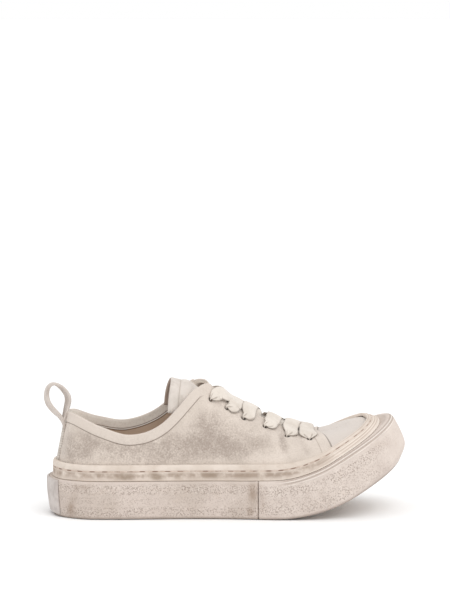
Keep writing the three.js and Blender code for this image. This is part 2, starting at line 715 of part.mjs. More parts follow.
// Finishes, as MeshStandardMaterial settings.
const RUBBER = { color: 0xdfd2c6, roughness: 0.85, metalness: 0 };
const SUEDE = { color: 0xdcd2c6, roughness: 0.95, metalness: 0 };
const CANVAS = { color: 0xe2dbd0, roughness: 0.95, metalness: 0 };
const TREAD = { color: 0xc9bbae, roughness: 0.9, metalness: 0 };

const shoe = new THREE.Group();
const PIECES = [
  ['outsole', makeOutsole, TREAD],
  ['sole', makeSole, RUBBER],
  ['toe_bumper', makeToeBumper, RUBBER],
  ['heel_plate', makeHeelPlate, RUBBER],
  ['rand', makeRand, RUBBER],
  ['upper', makeUpper, SUEDE],
  ['tongue', makeTongue, CANVAS],
  ['insole', makeInsole, CANVAS],
  ['laces', makeLaces, CANVAS],
  ['pull_loop', makePullLoop, CANVAS],
];
for (const [name, make, finish] of PIECES) {
  const piece = new THREE.Mesh(make(), new THREE.MeshStandardMaterial(finish));
  piece.name = name;
  piece.position.copy(ORIGIN).negate();
  shoe.add(piece);
}

export default shoe;
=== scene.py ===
# Worn low-top lace-up sneaker on a thick cup sole with a strong toe spring: the right shoe of a pair.
# +X runs from the heel to the toe, +Y to the inner side of the foot, +Z up from the floor. Shapes are
# worked out in millimetres from the back of the heel and put into the meshes in metres.
import math

import bmesh
import bpy
import numpy as np
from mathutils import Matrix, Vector


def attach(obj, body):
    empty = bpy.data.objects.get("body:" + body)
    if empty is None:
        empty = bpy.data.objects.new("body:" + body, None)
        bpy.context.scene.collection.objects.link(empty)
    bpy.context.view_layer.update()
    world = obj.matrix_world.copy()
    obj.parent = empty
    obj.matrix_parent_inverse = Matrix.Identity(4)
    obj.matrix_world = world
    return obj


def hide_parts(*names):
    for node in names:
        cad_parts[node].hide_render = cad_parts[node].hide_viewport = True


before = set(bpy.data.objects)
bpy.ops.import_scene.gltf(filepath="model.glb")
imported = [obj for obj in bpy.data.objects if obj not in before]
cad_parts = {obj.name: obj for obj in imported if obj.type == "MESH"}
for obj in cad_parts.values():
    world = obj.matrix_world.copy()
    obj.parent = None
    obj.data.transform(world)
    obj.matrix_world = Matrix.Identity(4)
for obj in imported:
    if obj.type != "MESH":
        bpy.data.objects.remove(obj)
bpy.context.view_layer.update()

# ----------------------------------------------------------
# Camera: a long lens well back on the outer side, a little behind square and a little above the shoe.
# It looks over the shoe, so that the shoe stands low in an upright picture.
azimuth, elevation, reach = math.radians(-5), math.radians(9.5), 2.2
TARGET_HEIGHT, AIM_LEFT, AIM_UP = 0.054, 0.0011, 0.0545
forward = Vector((-math.sin(azimuth) * math.cos(elevation), math.cos(azimuth) * math.cos(elevation),
                  -math.sin(elevation)))
rightward = forward.cross(Vector((0, 0, 1))).normalized()
upward = rightward.cross(forward)
camera = bpy.data.objects.new("camera", bpy.data.cameras.new("camera"))
camera.data.lens = 159.8
camera.data.sensor_width = 36
camera.data.clip_end = 200
camera.location = Vector((0, 0, TARGET_HEIGHT)) - forward * reach
look = forward - rightward * AIM_LEFT + upward * AIM_UP
camera.rotation_euler = look.to_track_quat("-Z", "Y").to_euler()
bpy.context.scene.collection.objects.link(camera)
bpy.context.scene.camera = camera

# ----------------------------------------------------------
# Floor and light: a plain white floor under an even white sky, with one broad soft light from above,
# in front and toward the toe, so that only a faint shadow lies under the turned-up toe.
bpy.context.scene.view_settings.view_transform = "Standard"
world = bpy.data.worlds.new("studio")
bpy.context.scene.world = world
world.use_nodes = True
world.node_tree.nodes["Background"].inputs["Color"].default_value = (1, 1, 1, 1)
world.node_tree.nodes["Background"].inputs["Strength"].default_value = 1.0
FLOOR_REACH = 60
floor_mesh = bpy.data.meshes.new("floor")
corners = [(FLOOR_REACH * x, FLOOR_REACH * y, 0) for x, y in ((-1, -1), (1, -1), (1, 1), (-1, 1))]
floor_mesh.from_pydata(corners, [], [(0, 1, 2, 3)])
floor = bpy.data.objects.new("floor", floor_mesh)
bpy.context.scene.collection.objects.link(floor)
floor_paint = bpy.data.materials.new("white_floor")
floor_paint.use_nodes = True
floor_shader = floor_paint.node_tree.nodes["Principled BSDF"]
floor_shader.inputs["Base Color"].default_value = (0.97, 0.97, 0.97, 1)
floor_shader.inputs["Roughness"].default_value = 0.9
floor_mesh.materials.append(floor_paint)
lamp = bpy.data.objects.new("softbox", bpy.data.lights.new("softbox", "SUN"))
lamp.data.energy = 0.9
lamp.data.angle = math.radians(50)
lamp.rotation_euler = Vector((-0.4, 0.65, -1)).to_track_quat("-Z", "Y").to_euler()
bpy.context.scene.collection.objects.link(lamp)

# ----------------------------------------------------------
# Cup sole: a tub of pale crackled rubber, vulcanised in one piece with its tall side wall. A station
# runs round it: 0 at the back of the heel, 14 at the toe tip by the outer side, and on to 28.
ORIGIN = np.array([149.0, -2.0, 0.0])
HALF, LOOP = 14, 28
BEND_START, BEND_END, TOE_ANGLE = 181.0, 252.0, math.radians(28.5)
CUP_FLOOR, TREAD_TOP, WALL_FOOT, GAP, WALL_CLEAR = 14.0, 6.0, 0.6, 0.3, 0.5
BUMPER_SEAM, BUMPER_THICKNESS, BUMPER_PROUD = 170.0, 2.4, 0.8
OUTLINE = np.array([
    [1.6, 0], [8.5, -22.5], [28, -36.5], [54, -40.5], [82, -41.5], [110, -42.5], [138, -45],
    [166, -49.5], [194, -54], [222, -56], [248, -54.3], [272, -48], [292, -36], [306.4, -17], [312.8, 6],
    [307.4, 27], [293, 39.5], [272, 47], [248, 51], [222, 52], [194, 48.5], [166, 42], [138, 37],
    [110, 36], [82, 37.5], [54, 39.5], [28, 36.5], [8.5, 22.5]])


def mirrored(*half):
    """Values at stations 0 to 14, the same on both sides of the shoe."""
    return np.array(list(half) + list(half[1:-1])[::-1], float)


BEVEL_INSET = mirrored(3.2, 2.8, 2.4, 2.2, 2.2, 2.2, 2.2, 2.2, 2.4, 2.8, 3.8, 5.8, 8.2, 10, 11)
BEVEL_RISE = mirrored(3.4, 3, 2.6, 2.4, 2.4, 2.4, 2.4, 2.4, 2.5, 2.8, 3.4, 4.6, 6, 7, 7.4)
LEAN = mirrored(2.4, 2.2, 1.8, 1.5, 1.4, 1.4, 1.4, 1.4, 1.4, 1.5, 1.6, 1.7, 1.8, 1.9, 1.9)
WALL_TOP = mirrored(31.3, 31.3, 31.3, 31.3, 31.3, 31.3, 31.4, 31.8, 33, 34.8, 35.6, 35.8, 35.8, 35.6, 35.6)
SHOULDER = mirrored(1.4, 1.4, 1.4, 1.4, 1.4, 1.4, 1.4, 1.4, 1.6, 2, 2.4, 2.8, 3.2, 3.6, 3.8)
FEATHER_INSET = mirrored(10, 8.4, 7.4, 7.2, 7.2, 7.2, 7.2, 7.2, 7.2, 7.3, 7.6, 8, 8.6, 9.2, 9.6)
RAND_INSET = mirrored(8.2, 7.2, 6.3, 6, 6, 6, 6, 6, 6, 6.6, 8.2, 11, 14.5, 18.4, 20.4)
RAND_TOP = mirrored(44.6, 44.6, 44.6, 44.6, 44.6, 44.6, 44.7, 44.8, 44.8, 44.4, 43.8, 43.2, 42.6, 42, 41.6)
RAND_TILT = mirrored(10, 8, 5, 4, 5, 6, 8, 16, 32, 50, 58, 60, 61, 62, 62)


def blend(a, b, c, d, f):
    """A uniform Catmull-Rom curve from b to c at fraction f, with a before and d after."""
    square, cube = 2 * a - 5 * b + 4 * c - d, 3 * b - a - 3 * c + d
    return 0.5 * (2 * b + (c - a) * f + square * f ** 2 + cube * f ** 3)


def around(values, t):
    """The curve through values one station apart on the closed loop, at stations t."""
    k = np.floor(t).astype(int)
    f = t - k
    a, b, c, d = (values[(k + i) % LOOP] for i in (-1, 0, 1, 2))
    return blend(a, b, c, d, f if values.ndim == 1 else f[..., None])


def along_row(points, t):
    """The curve through an open row of points one apart, held at its ends."""
    last = len(points) - 1
    k = np.clip(np.floor(t).astype(int), 0, last - 1)
    a, b, c, d = (points[np.clip(k + i, 0, last)] for i in (-1, 0, 1, 2))
    return blend(a, b, c, d, (t - k)[..., None])


def smooth(x, low, high):
    """0 below low, 1 above high, and an S-curve between."""
    f = np.clip((x - low) / (high - low), 0, 1)
    return f * f * (3 - 2 * f)


def unit(vectors):
    """The same directions at length 1."""
    return vectors / np.maximum(np.linalg.norm(vectors, axis=-1, keepdims=True), 1e-9)


def travelled(points):
    """Length walked along each row of points, from 0 at its start."""
    steps = np.linalg.norm(np.diff(points, axis=-2), axis=-1)
    return np.concatenate([0 * steps[..., :1], np.cumsum(steps, -1)], -1)


def inward(t):
    """The outline's inward direction: the difference of two near points of it, turned square."""
    way = around(OUTLINE, t + 0.02) - around(OUTLINE, t - 0.02)
    return unit(np.stack([-way[..., 1], way[..., 0]], -1))


def turn(along):
    """The sole's angle: level, then growing along an arc, then the toe angle."""
    return TOE_ANGLE * np.clip((along - BEND_START) / (BEND_END - BEND_START), 0, 1)


def bend(along, across, height):
    """Rolls a point of the straight sole up round the arc of the toe spring."""
    radius = (BEND_END - BEND_START) / TOE_ANGLE
    angle = turn(along)
    beyond = np.maximum(along - BEND_END, 0)
    level = np.minimum(along, BEND_START) + radius * np.sin(angle) + beyond * np.cos(angle)
    lift = radius * (1 - np.cos(angle)) + beyond * np.sin(angle)
    return np.stack([level - height * np.sin(angle), across + 0 * level, lift + height * np.cos(angle)], -1)


def place(t, inset, height):
    """A point by station, inset from the outline, and height above the tread."""
    flat = around(OUTLINE, t) + inward(t) * np.asarray(inset)[..., None]
    return bend(flat[..., 0], flat[..., 1], height)


def lower_side(t, v, clearance):
    """The upper's side from the feather edge (0) to the rand's top (1): a Hermite curve of inset and
    height that starts upright and ends leaning in by the rand's tilt, moved out by a clearance."""
    start = np.stack([around(FEATHER_INSET, t), np.full(t.shape, CUP_FLOOR + GAP)], -1)
    end = np.stack([around(RAND_INSET, t), around(RAND_TOP, t)], -1)
    tilt = np.radians(around(RAND_TILT, t))
    length = (end[..., 1] - start[..., 1] + 0.5 * np.abs(end[..., 0] - start[..., 0]))[..., None]
    leave = np.array([0.0, 1.0]) * length
    arrive = np.stack([np.sin(tilt), np.cos(tilt)], -1) * length
    w = np.broadcast_to(v, t.shape)[..., None]
    value = (2 * w ** 3 - 3 * w ** 2 + 1) * start + (w ** 3 - 2 * w ** 2 + w) * leave \
        + (3 * w ** 2 - 2 * w ** 3) * end + (w ** 3 - w ** 2) * arrive
    way = unit((6 * w ** 2 - 6 * w) * (start - end) + (3 * w ** 2 - 4 * w + 1) * leave
               + (3 * w ** 2 - 2 * w) * arrive)
    return value + np.stack([-way[..., 1], way[..., 0]], -1) * np.broadcast_to(clearance, t.shape)[..., None]


def side_at_height(t, height, clearance):
    """Where the lower side, moved out, passes a height, by halving the interval."""
    low, high = np.zeros(t.shape), np.ones(t.shape)
    for _ in range(20):
        middle = (low + high) / 2
        below = lower_side(t, middle, clearance)[..., 1] < height
        low, high = np.where(below, middle, low), np.where(below, high, middle)
    return low


def chaikin(points, times):
    """Rounds the corners of chains of points by cutting each one at a quarter of both its sides."""
    for _ in range(times):
        a, b = points[..., :-1, :], points[..., 1:, :]
        cut = np.stack([0.75 * a + 0.25 * b, 0.25 * a + 0.75 * b], -2)
        cut = cut.reshape(*points.shape[:-2], -1, points.shape[-1])
        points = np.concatenate([points[..., :1, :], cut, points[..., -1:, :]], -2)
    return points


def wall_face(t, proud, rounds=2):
    """The side wall's outer face as inset and height: foot, bevel, belly and rounded shoulder."""
    lean, top, shoulder = around(LEAN, t), around(WALL_TOP, t), around(SHOULDER, t)
    bevel, rise = around(BEVEL_INSET, t), around(BEVEL_RISE, t)
    corners = [
        (bevel + 0.5, WALL_FOOT + 0 * t), (bevel, WALL_FOOT + 0 * t),
        (lean + 0.3 * (bevel - lean), WALL_FOOT + 0.75 * (rise - WALL_FOOT)), (lean, rise * 1.15),
        (lean * 0.4, 13 + 0 * t), (0 * t, 22 + 0 * t), (0.1 + 0 * t, top - shoulder),
        (0.1 + 0.22 * shoulder, top - 0.25 * shoulder), (shoulder * 0.9, top), (shoulder * 0.9 + 0.5, top)]
    face = chaikin(np.stack([np.stack(corner, -1) for corner in corners], -2), rounds)
    face[..., 0] -= np.broadcast_to(proud, t.shape)[..., None]
    return face


def spine(t, height):
    """The line down the middle of the sole where its floor's two sides meet."""
    near = HALF - np.abs(HALF - t)
    along = np.clip(along_row(OUTLINE[:HALF + 1], near)[..., 0], 22, 290)
    return bend(along, 0 * along, height)


def smudges(points, *spots):
    """Dirt from 0 to 1: a sum of soft oval spots. A spot has its side (-1 outer, 1 inner), its centre
    along and up the shoe, its reach both ways, and its strength; it fades as a Gaussian curve."""
    total = np.zeros(points.shape[:-1])
    for side, along, height, wide, tall, strength in spots:
        far = ((points[..., 0] - along) / wide) ** 2 + ((points[..., 2] - height) / tall) ** 2
        total += strength * np.exp(-far) * smooth(side * points[..., 1], -6, 6)
    return np.clip(total, 0, 1)


def flat_section(count):
    """A flat closed section's points: how far across from -1 to 1 and back, and top 1 or bottom -1."""
    across = np.linspace(-1, 1, count)
    return np.concatenate([across, across[::-1]]), np.repeat([1.0, -1.0], count)


def weave(name, points, quads, sharp=None, **fields):
    """A mesh of quads over points in the shoe's millimetres. Doubles are merged, the faces are turned
    outward by the sign of the volume, and each field is kept on the points for the materials."""
    mesh = bpy.data.meshes.new(name)
    mesh.from_pydata(((points - ORIGIN) * 0.001).reshape(-1, 3).tolist(), [], quads.reshape(-1, 4).tolist())
    for key, values in fields.items():
        store = mesh.attributes.new(key, "FLOAT", "POINT")
        flat = np.broadcast_to(values, points.shape[:-1]).ravel()
        store.data.foreach_set("value", np.ascontiguousarray(flat, np.float32))
    build = bmesh.new()
    build.from_mesh(mesh)
    bmesh.ops.remove_doubles(build, verts=build.verts, dist=2e-6)
    bmesh.ops.dissolve_degenerate(build, edges=build.edges, dist=1e-7)
    if build.calc_volume(signed=True) < 0:
        bmesh.ops.reverse_faces(build, faces=build.faces)
    build.to_mesh(mesh)
    build.free()
    mesh.shade_smooth()
    if sharp is not None:
        mesh.set_sharp_from_angle(angle=math.radians(sharp))
    piece = bpy.data.objects.new(name, mesh)
    bpy.context.scene.collection.objects.link(piece)
    return piece


def skin(name, rows, ring=True, skip=None, sharp=None, **fields):
    """A mesh over a grid of points: rows follow each other round the shoe, and each row is a chain or a
    closed ring. A skip mask leaves faces out."""
    count, width = rows.shape[:2]
    index = np.arange(count * width).reshape(count, width)
    ahead, beside = np.roll(index, -1, 0), np.roll(index, -1, 1)
    quads = np.stack([index, ahead, np.roll(ahead, -1, 1), beside], -1)
    keep = np.ones((count, width), bool) if skip is None else ~skip
    keep[:, -1] &= ring
    return weave(name, rows, quads[keep], sharp, **fields)


def tubes(name, sections, sharp=None, **fields):
    """Closed strips or threads: sections are rings of points along each one, with the two halves of a
    ring mirroring each other, and an end is closed by drawing its ring onto its middle line."""
    shut = (sections + sections[..., ::-1, :]) / 2
    rows = np.concatenate([shut[:, :1], sections, shut[:, -1:]], 1)
    fields = {key: np.pad(np.broadcast_to(value, sections.shape[:-1]), ((0, 0), (1, 1), (0, 0)), "edge")
              for key, value in fields.items()}
    index = np.arange(rows[..., 0].size).reshape(rows.shape[:3])
    beside = np.roll(index, -1, 2)
    quads = np.stack([index[:, :-1], index[:, 1:], beside[:, 1:], beside[:, :-1]], -1)
    return weave(name, rows, quads, sharp, **fields)


class Field:
    """A value that changes over a surface: a node's output socket, with arithmetic on it."""

    def __init__(self, paint, socket):
        self.paint = paint
        self.socket = socket

    def maths(self, operation, *others):
        return self.paint.node("ShaderNodeMath", {"operation": operation}, dict(enumerate([self, *others])))

    def __add__(self, other):
        return self.maths("ADD", other)

    def __sub__(self, other):
        return self.maths("SUBTRACT", other)

    def __mul__(self, other):
        return self.maths("MULTIPLY", other)

    def __rsub__(self, other):
        return self.paint.node("ShaderNodeMath", {"operation": "SUBTRACT"}, {0: other, 1: self})

    __radd__, __rmul__ = __add__, __mul__

    def between(self, low, high):
        """0 at low and 1 at high, with an S-curve between."""
        return self.paint.node("ShaderNodeMapRange", {"interpolation_type": "SMOOTHSTEP"},
                               {"Value": self, "From Min": low, "From Max": high})

    def line(self, at, half, soft):
        """1 within half of a value, fading to 0 over soft."""
        return 1 - (self - at).maths("ABSOLUTE").between(half, half + soft)


class Paint:
    """A material on the Principled shader, and the nodes that its fields are made of."""

    def __init__(self, name, roughness, sheen=0.0):
        self.material = bpy.data.materials.new(name)
        self.material.use_nodes = True
        self.tree = self.material.node_tree
        self.shader = self.tree.nodes["Principled BSDF"]
        self.shader.inputs["Roughness"].default_value = roughness
        self.shader.inputs["Specular IOR Level"].default_value = 0.3
        self.shader.inputs["Sheen Weight"].default_value = sheen
        self.spot = self.node("ShaderNodeTexCoord", {}, {}, "Object")
        self.colour = None

    def node(self, kind, settings, inputs, output=0):
        made = self.tree.nodes.new(kind)
        for key, value in settings.items():
            setattr(made, key, value)
        for key, value in inputs.items():
            if isinstance(value, Field):
                self.tree.links.new(value.socket, made.inputs[key])
            else:
                made.inputs[key].default_value = value
        return Field(self, made.outputs[output])

    def field(self, name):
        return self.node("ShaderNodeAttribute", {"attribute_name": name}, {}, "Fac")

    def noise(self, lump, detail=3.0, rough=0.55, stretch=(1, 1, 1)):
        """Cloudy noise from 0 to 1, with lumps of so many millimetres, drawn out where stretch is
        below 1."""
        where = self.node("ShaderNodeMapping", {}, {"Vector": self.spot, "Scale": stretch})
        return self.node("ShaderNodeTexNoise", {}, {
            "Vector": where, "Scale": 1000 / lump, "Detail": detail, "Roughness": rough})

    def cells(self, size):
        """Distance to the nearest of scattered points so many millimetres apart, 0 at each point."""
        return self.node("ShaderNodeTexVoronoi", {}, {"Vector": self.spot, "Scale": 1000 / size})

    def mix(self, share, first, second):
        return self.node("ShaderNodeMix", {"data_type": "RGBA"}, {0: share, 6: first, 7: second}, 2)

    def bump(self, height, millimetres, before=None):
        inputs = {"Height": height, "Distance": millimetres * 0.001, "Strength": 1.0}
        if before is not None:
            inputs["Normal"] = before
        return self.node("ShaderNodeBump", {}, inputs)

    def start(self, clouds, edges, light, dark):
        """A light and a dark colour in soft clouds, which the coats go over."""
        self.colour = self.mix(self.noise(*clouds).between(*edges), tint(*light), tint(*dark))

    def coat(self, share, *colour):
        """A share of one more colour over the colour so far."""
        self.colour = self.mix(share, self.colour, tint(*colour))

    def cover(self, piece, relief, millimetres, before=None):
        """Puts the material on a piece, with the colour so far and a relief of so many millimetres."""
        for name, value in (("Base Color", self.colour), ("Normal", self.bump(relief, millimetres, before))):
            self.tree.links.new(value.socket, self.shader.inputs[name])
        piece.data.materials.clear()
        piece.data.materials.append(self.material)


def tint(red, green, blue):
    """A colour given as on a screen, 0 to 255, made linear."""
    return tuple(((c / 255 + 0.055) / 1.055) ** 2.4 for c in (red, green, blue)) + (1.0,)


def clouded(piece, name, roughness, clouds, light, dark, grain, height, sheen=0.0, high=0.7):
    """A plain material: a light and a dark colour in soft clouds, and a fine grain of some height."""
    paint = Paint(name, roughness, sheen)
    paint.start(clouds, (0.35, high), light, dark)
    paint.cover(piece, paint.noise(*grain), height)


def finish(piece, node):
    """The piece moves with the shoe and, where a node is given, stands for that solid of the model, which is
    hidden.
    """
    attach(piece, "root")
    if node:
        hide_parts(node)


def bumper_cover(t):
    """0 behind the toe bumper's end seams, 1 in front of them."""
    return smooth(around(OUTLINE, t)[..., 0], BUMPER_SEAM - 1.2, BUMPER_SEAM - 0.2)


seams = np.array([6.9, 7.0, 7.06, 7.1, 7.13, 7.16, 7.2, 7.26, 7.4])
t = np.unique(np.concatenate([np.arange(0, LOOP, 1 / 14), seams, LOOP - seams]))
face = wall_face(t, -(BUMPER_THICKNESS - BUMPER_PROUD + GAP) * bumper_cover(t))
foot = around(BEVEL_INSET, t) + 3.4
heights = [CUP_FLOOR + (around(WALL_TOP, t) - CUP_FLOOR) * part for part in (1, 0.75, 0.5)]
inner = [lower_side(t, side_at_height(t, height, WALL_CLEAR), WALL_CLEAR) for height in heights]
under = [np.stack([foot, height + 0 * t], -1) for height in (TREAD_TOP + GAP, WALL_FOOT)]
floor_edge = np.stack([around(FEATHER_INSET, t) - GAP, CUP_FLOOR + 0 * t], -1)
ring = np.concatenate([np.stack(under, 1), face, np.stack([*inner, floor_edge], 1)], 1)
wall = place(t[:, None] + 0 * ring[..., 0], ring[..., 0], ring[..., 1])
wall = np.concatenate([spine(t, TREAD_TOP + GAP)[:, None], wall, spine(t, CUP_FLOOR)[:, None]], 1)
side_wall = skin(
    "sole", wall, ring=False, sharp=50, level=np.pad(ring[..., 1], ((0, 0), (1, 1))),
    grime=smudges(wall, (-1, 165, 22, 4, 11, 1), (-1, 163, 6, 3, 4, 0.8), (1, 166, 18, 4, 12, 0.9),
                  (-1, 18.5, 8, 3, 8, 0.95), (-1, 22, 20, 3, 7, 0.45), (-1, 27, 27, 7, 2.6, 0.6),
                  (1, 40, 12, 16, 5, 0.6), (1, 110, 22, 20, 4, 0.4), (-1, 88, 8, 12, 2.4, 0.3),
                  (-1, 150, 29, 14, 2, 0.3)))
finish(side_wall, "sole")


def rubber(piece, name, bands, light, dark):
    """Pale pinkish rubber: clouded, crackled with fine dark and light specks in bands at some heights
    of the wall, and dirty where smudges are. Its foot is painted darker as painted shade along the floor,
    and ridges get painted shade in their valleys and a painted highlight on their crests."""
    paint = Paint(name, 0.8)
    level = paint.field("level")
    paint.start((26, 3), (0.3, 0.7), light, dark)
    paint.coat(paint.noise(9, 4, 0.6).between(0.52, 0.75) * 0.3, 198, 182, 169)
    rough = sum(level.line(at, half, 3.5) * share for at, half, share in bands)
    rough = rough * (0.35 + 0.65 * paint.noise(24, 2, stretch=(0.5, 0.5, 2)).between(0.3, 0.5)) + 0.12
    rough = rough * (1 - paint.field("clean"))
    specks = (1 - paint.cells(1.2).between(0.15, 0.6)) * paint.noise(2.6, 2).between(0.25, 0.5)
    chips = paint.noise(1.5, 1.5, 0.6).between(0.55, 0.7)
    paint.coat(rough * specks * 0.7, 143, 125, 113)
    paint.coat(rough * chips * 0.28, 240, 231, 221)
    relief = paint.noise(1.1, 2) * 0.35 - rough * specks * 0.9
    ridges = paint.field("ridge")
    # The ridges' valleys are painted darker and their crests lighter: painted shade and painted highlight.
    paint.coat(ridges.line(-1, 0.3, 0.6) * 0.55, 168, 148, 134)
    paint.coat(ridges.line(1, 0.3, 0.6) * 0.6, 240, 230, 220)
    relief = relief + ridges * 1.6
    grime = paint.field("grime") * (0.45 + 0.9 * paint.noise(5, 4, 0.65))
    paint.coat(grime.between(0.05, 1.1) * 0.75, 150, 130, 114)
    # The foot is painted darker: painted shade where the wall meets the floor.
    paint.coat((1 - level.between(0.6, 3.4)) * 0.55, 122, 106, 94)
    paint.cover(piece, relief, 0.25)


rubber(side_wall, "crackled_rubber", [(6.5, 2.2, 1), (24.8, 2.4, 1), (15.5, 1.5, 0.6)], (205, 192, 183),
       (193, 180, 170))

# ----------------------------------------------------------
# Outsole: the tread that the shoe stands on, of the same rubber, cemented under the cup sole. Its own
# solid shows; only its foot is seen, as a dark line along the floor.
clouded(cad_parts["outsole"], "worn_tread", 0.85, (16, 4, 0.6), (196, 180, 166), (150, 134, 121),
        (1.2, 3), 0.25)

# ----------------------------------------------------------
# Toe bumper: a strip of rubber wrapped over the wall from seam to seam round the toe, cemented on. Two
# fine ridges run round its shoulder.
def station_at(along, low, high):
    """The station between two others at which the outline passes a distance from the heel."""
    for _ in range(30):
        middle = (low + high) / 2
        before = around(OUTLINE, np.array(middle))[0] < along
        low, high = (middle, high) if before else (low, middle)
    return low


RIDGE_PITCH, FAR_OFF = 2.6, 99.0
t = np.linspace(station_at(BUMPER_SEAM, 0.5, HALF), station_at(BUMPER_SEAM, LOOP - 0.5, HALF), 300)
outside = wall_face(t, BUMPER_PROUD, 3)
inside = wall_face(t, BUMPER_PROUD - BUMPER_THICKNESS, 3)
walked = travelled(outside)
edge_round = 0.5 * np.exp(-((t - t[0]) * 26 / 0.7) ** 2) + 0.5 * np.exp(-((t - t[-1]) * 26 / 0.7) ** 2)
outside[..., 0] += edge_round[:, None]
strip = np.concatenate([outside, inside[:, ::-1]], 1)
strip = place(t[:, None] + 0 * strip[..., 0], strip[..., 0], strip[..., 1])
level = np.concatenate([outside[..., 1], inside[:, ::-1, 1]], 1)
grime = smudges(strip, (-1, 173, 14, 2.6, 14, 0.5), (1, 173, 14, 3, 14, 0.5), (-1, 292, 66, 6, 5, 0.2),
                (-1, 200, 31, 14, 2, 0.25), (1, 260, 40, 20, 5, 0.4))
from_top = np.concatenate([walked[:, -1:] - walked, np.full(inside.shape[:2], FAR_OFF)], 1)
shoulder = smooth(from_top, 0.8, 1.4) * (1 - smooth(from_top, 2.2 * RIDGE_PITCH, 2.6 * RIDGE_PITCH))
ridge_wave = np.sin(from_top * 2 * math.pi / RIDGE_PITCH) * shoulder * smooth(strip[..., 0], 176, 200)
bumper = tubes("toe_bumper", strip[None], sharp=50, level=level, grime=grime, ridge=ridge_wave,
               clean=0.75 * smooth(strip[..., 0], 255, 285))
finish(bumper, "toe_bumper")
rubber(bumper, "bumper_rubber", [(7.5, 2, 0.9), (23.5, 3, 1), (14.5, 1.8, 0.6)], (213, 201, 192),
       (201, 188, 179))

# ----------------------------------------------------------
# Heel plate: a bare greyish patch of smooth rubber, cemented on the back of the wall.
t = np.linspace(-1.02, 1.02, 61)
outside = wall_face(t, 1.6 + GAP)[:, 9:-10]
inside = wall_face(t, GAP)[:, 9:-10]
end = np.sqrt(np.clip(np.minimum(t - t[0], t[-1] - t) * 24 / 1.2, 0.05, 1))[:, None]
rank = np.arange(outside.shape[1])
plump = np.sqrt(np.clip(np.minimum(rank, rank[::-1]) / 1.5, 0.1, 1))
outside = inside + (outside - inside) * (end * plump)[..., None]
patch = np.concatenate([outside, inside[:, ::-1]], 1)
patch = place(t[:, None] + 0 * patch[..., 0], patch[..., 0], patch[..., 1])
plate = tubes("heel_plate", patch[None], sharp=60)
finish(plate, "heel_plate")
clouded(plate, "smooth_rubber", 0.6, (8, 4), (199, 191, 186), (179, 170, 165), (2.5, 3), 0.12)

# ----------------------------------------------------------
# Rand: a narrower strip of rubber standing on the wall and lapped on the upper, sewn right through
# along a groove with long stitches of thick thread. At the toe it lies nearly flat.
RAND_THICKNESS = mirrored(4, 3.5, 3, 2.8, 2.8, 2.8, 2.8, 2.8, 2.8, 2.8, 2.8, 2.8, 2.8, 2.8, 2.8)
STITCH_PITCH, STITCH_LEVEL, STITCH_SEAT = 10.3, 0.6, 0.88


def rand_point(t, part, out):
    """A point on the rand, part of the way from its foot to its top, out from the upper's side."""
    start = side_at_height(t, around(WALL_TOP, t) + GAP, WALL_CLEAR)
    flat = lower_side(t, start + (1 - start) * part, WALL_CLEAR + out)
    flat[..., 1] = np.where(part < 0.02, around(WALL_TOP, t) + GAP, flat[..., 1])
    return place(t, flat[..., 0], flat[..., 1])


t = np.arange(0, LOOP, 1 / 32)
parts, swell = np.array([
    (0, 1.1), (0.04, 1.16), (0.1, 1.1), (0.2, 1.02), (0.32, 1), (0.42, 1), (0.5, 1), (0.54, 0.99),
    (0.57, 0.92), (STITCH_LEVEL, STITCH_SEAT), (0.63, 0.92), (0.66, 0.99), (0.7, 1), (0.78, 1), (0.86, 0.98),
    (0.92, 0.92), (0.96, 0.78), (0.99, 0.5)]).T
grid_t, grid_part = np.meshgrid(t, parts, indexing="ij")
rand_out = rand_point(grid_t, grid_part, around(RAND_THICKNESS, grid_t) * swell)
rand_in = rand_point(grid_t, grid_part, 0 * grid_t)[:, ::-1]
rand_rows = np.concatenate([rand_out, rand_in], 1)
rand_part = np.concatenate([grid_part, grid_part[:, ::-1] * 0 + 2], 1)
groove = rand_out[:, np.argmin(np.abs(parts - STITCH_LEVEL))]
walked = travelled(np.concatenate([groove, groove[:1]]))
stitch_count = int(round(walked[-1] / STITCH_PITCH))
turns = walked[:-1] / walked[-1] * stitch_count
between = np.abs(turns % 1 - 0.5) * STITCH_PITCH
grime = smudges(rand_rows, (-1, 62, 35, 9, 4, 0.9), (-1, 88, 35, 7, 3.4, 0.9), (-1, 104, 35.5, 5, 3, 0.5),
                (-1, 40, 37, 6, 3, 0.5), (-1, 132, 36, 10, 3, 0.75), (-1, 158, 36, 8, 3, 0.6),
                (-1, 182, 37, 9, 3, 0.35), (-1, 22, 40, 8, 3, 0.3), (1, 70, 36, 30, 4, 0.6),
                (1, 160, 37, 20, 4, 0.5))
rand = skin("rand", rand_rows, sharp=55, part=rand_part, grime=grime, between=between[:, None],
            toe=smooth(rand_rows[..., 0], 205, 250))
finish(rand, "rand")
paint = Paint("rand_rubber", 0.82)
part, grime = paint.field("part"), paint.field("grime")
paint.start((20, 3), (0.3, 0.7), (217, 205, 194), (205, 192, 180))
paint.coat(paint.noise(6, 4, 0.6).between(0.5, 0.72) * 0.35, 190, 173, 158)
toe = paint.field("toe")
low = (0.35 + 0.65 * part.between(0.12, 0.34)) * (1 - part.between(0.42, 0.62)) * (1 - toe)
paint.coat(low * 0.85 * paint.noise(7, 3).between(0.3, 0.6), 158, 140, 126)
darkening = (grime * (0.5 + 0.9 * paint.noise(4, 4, 0.65))).between(0.05, 1)
paint.coat(darkening * 0.9, 146, 129, 113)
# A patchy dark line along the stitch groove.
groove_patches = paint.noise(9, 3).between(0.25, 0.55) * 0.85
paint.coat(part.line(STITCH_LEVEL, 0.012, 0.045) * groove_patches, 146, 118, 102)
hole = paint.field("between").between(2.6, 4.2) * part.line(STITCH_LEVEL, 0.02, 0.03)
worn_away = paint.noise(17, 2).between(0.3, 0.62) * (1 - toe * 0.45)
paint.coat(hole * worn_away * 0.7, 118, 92, 79)
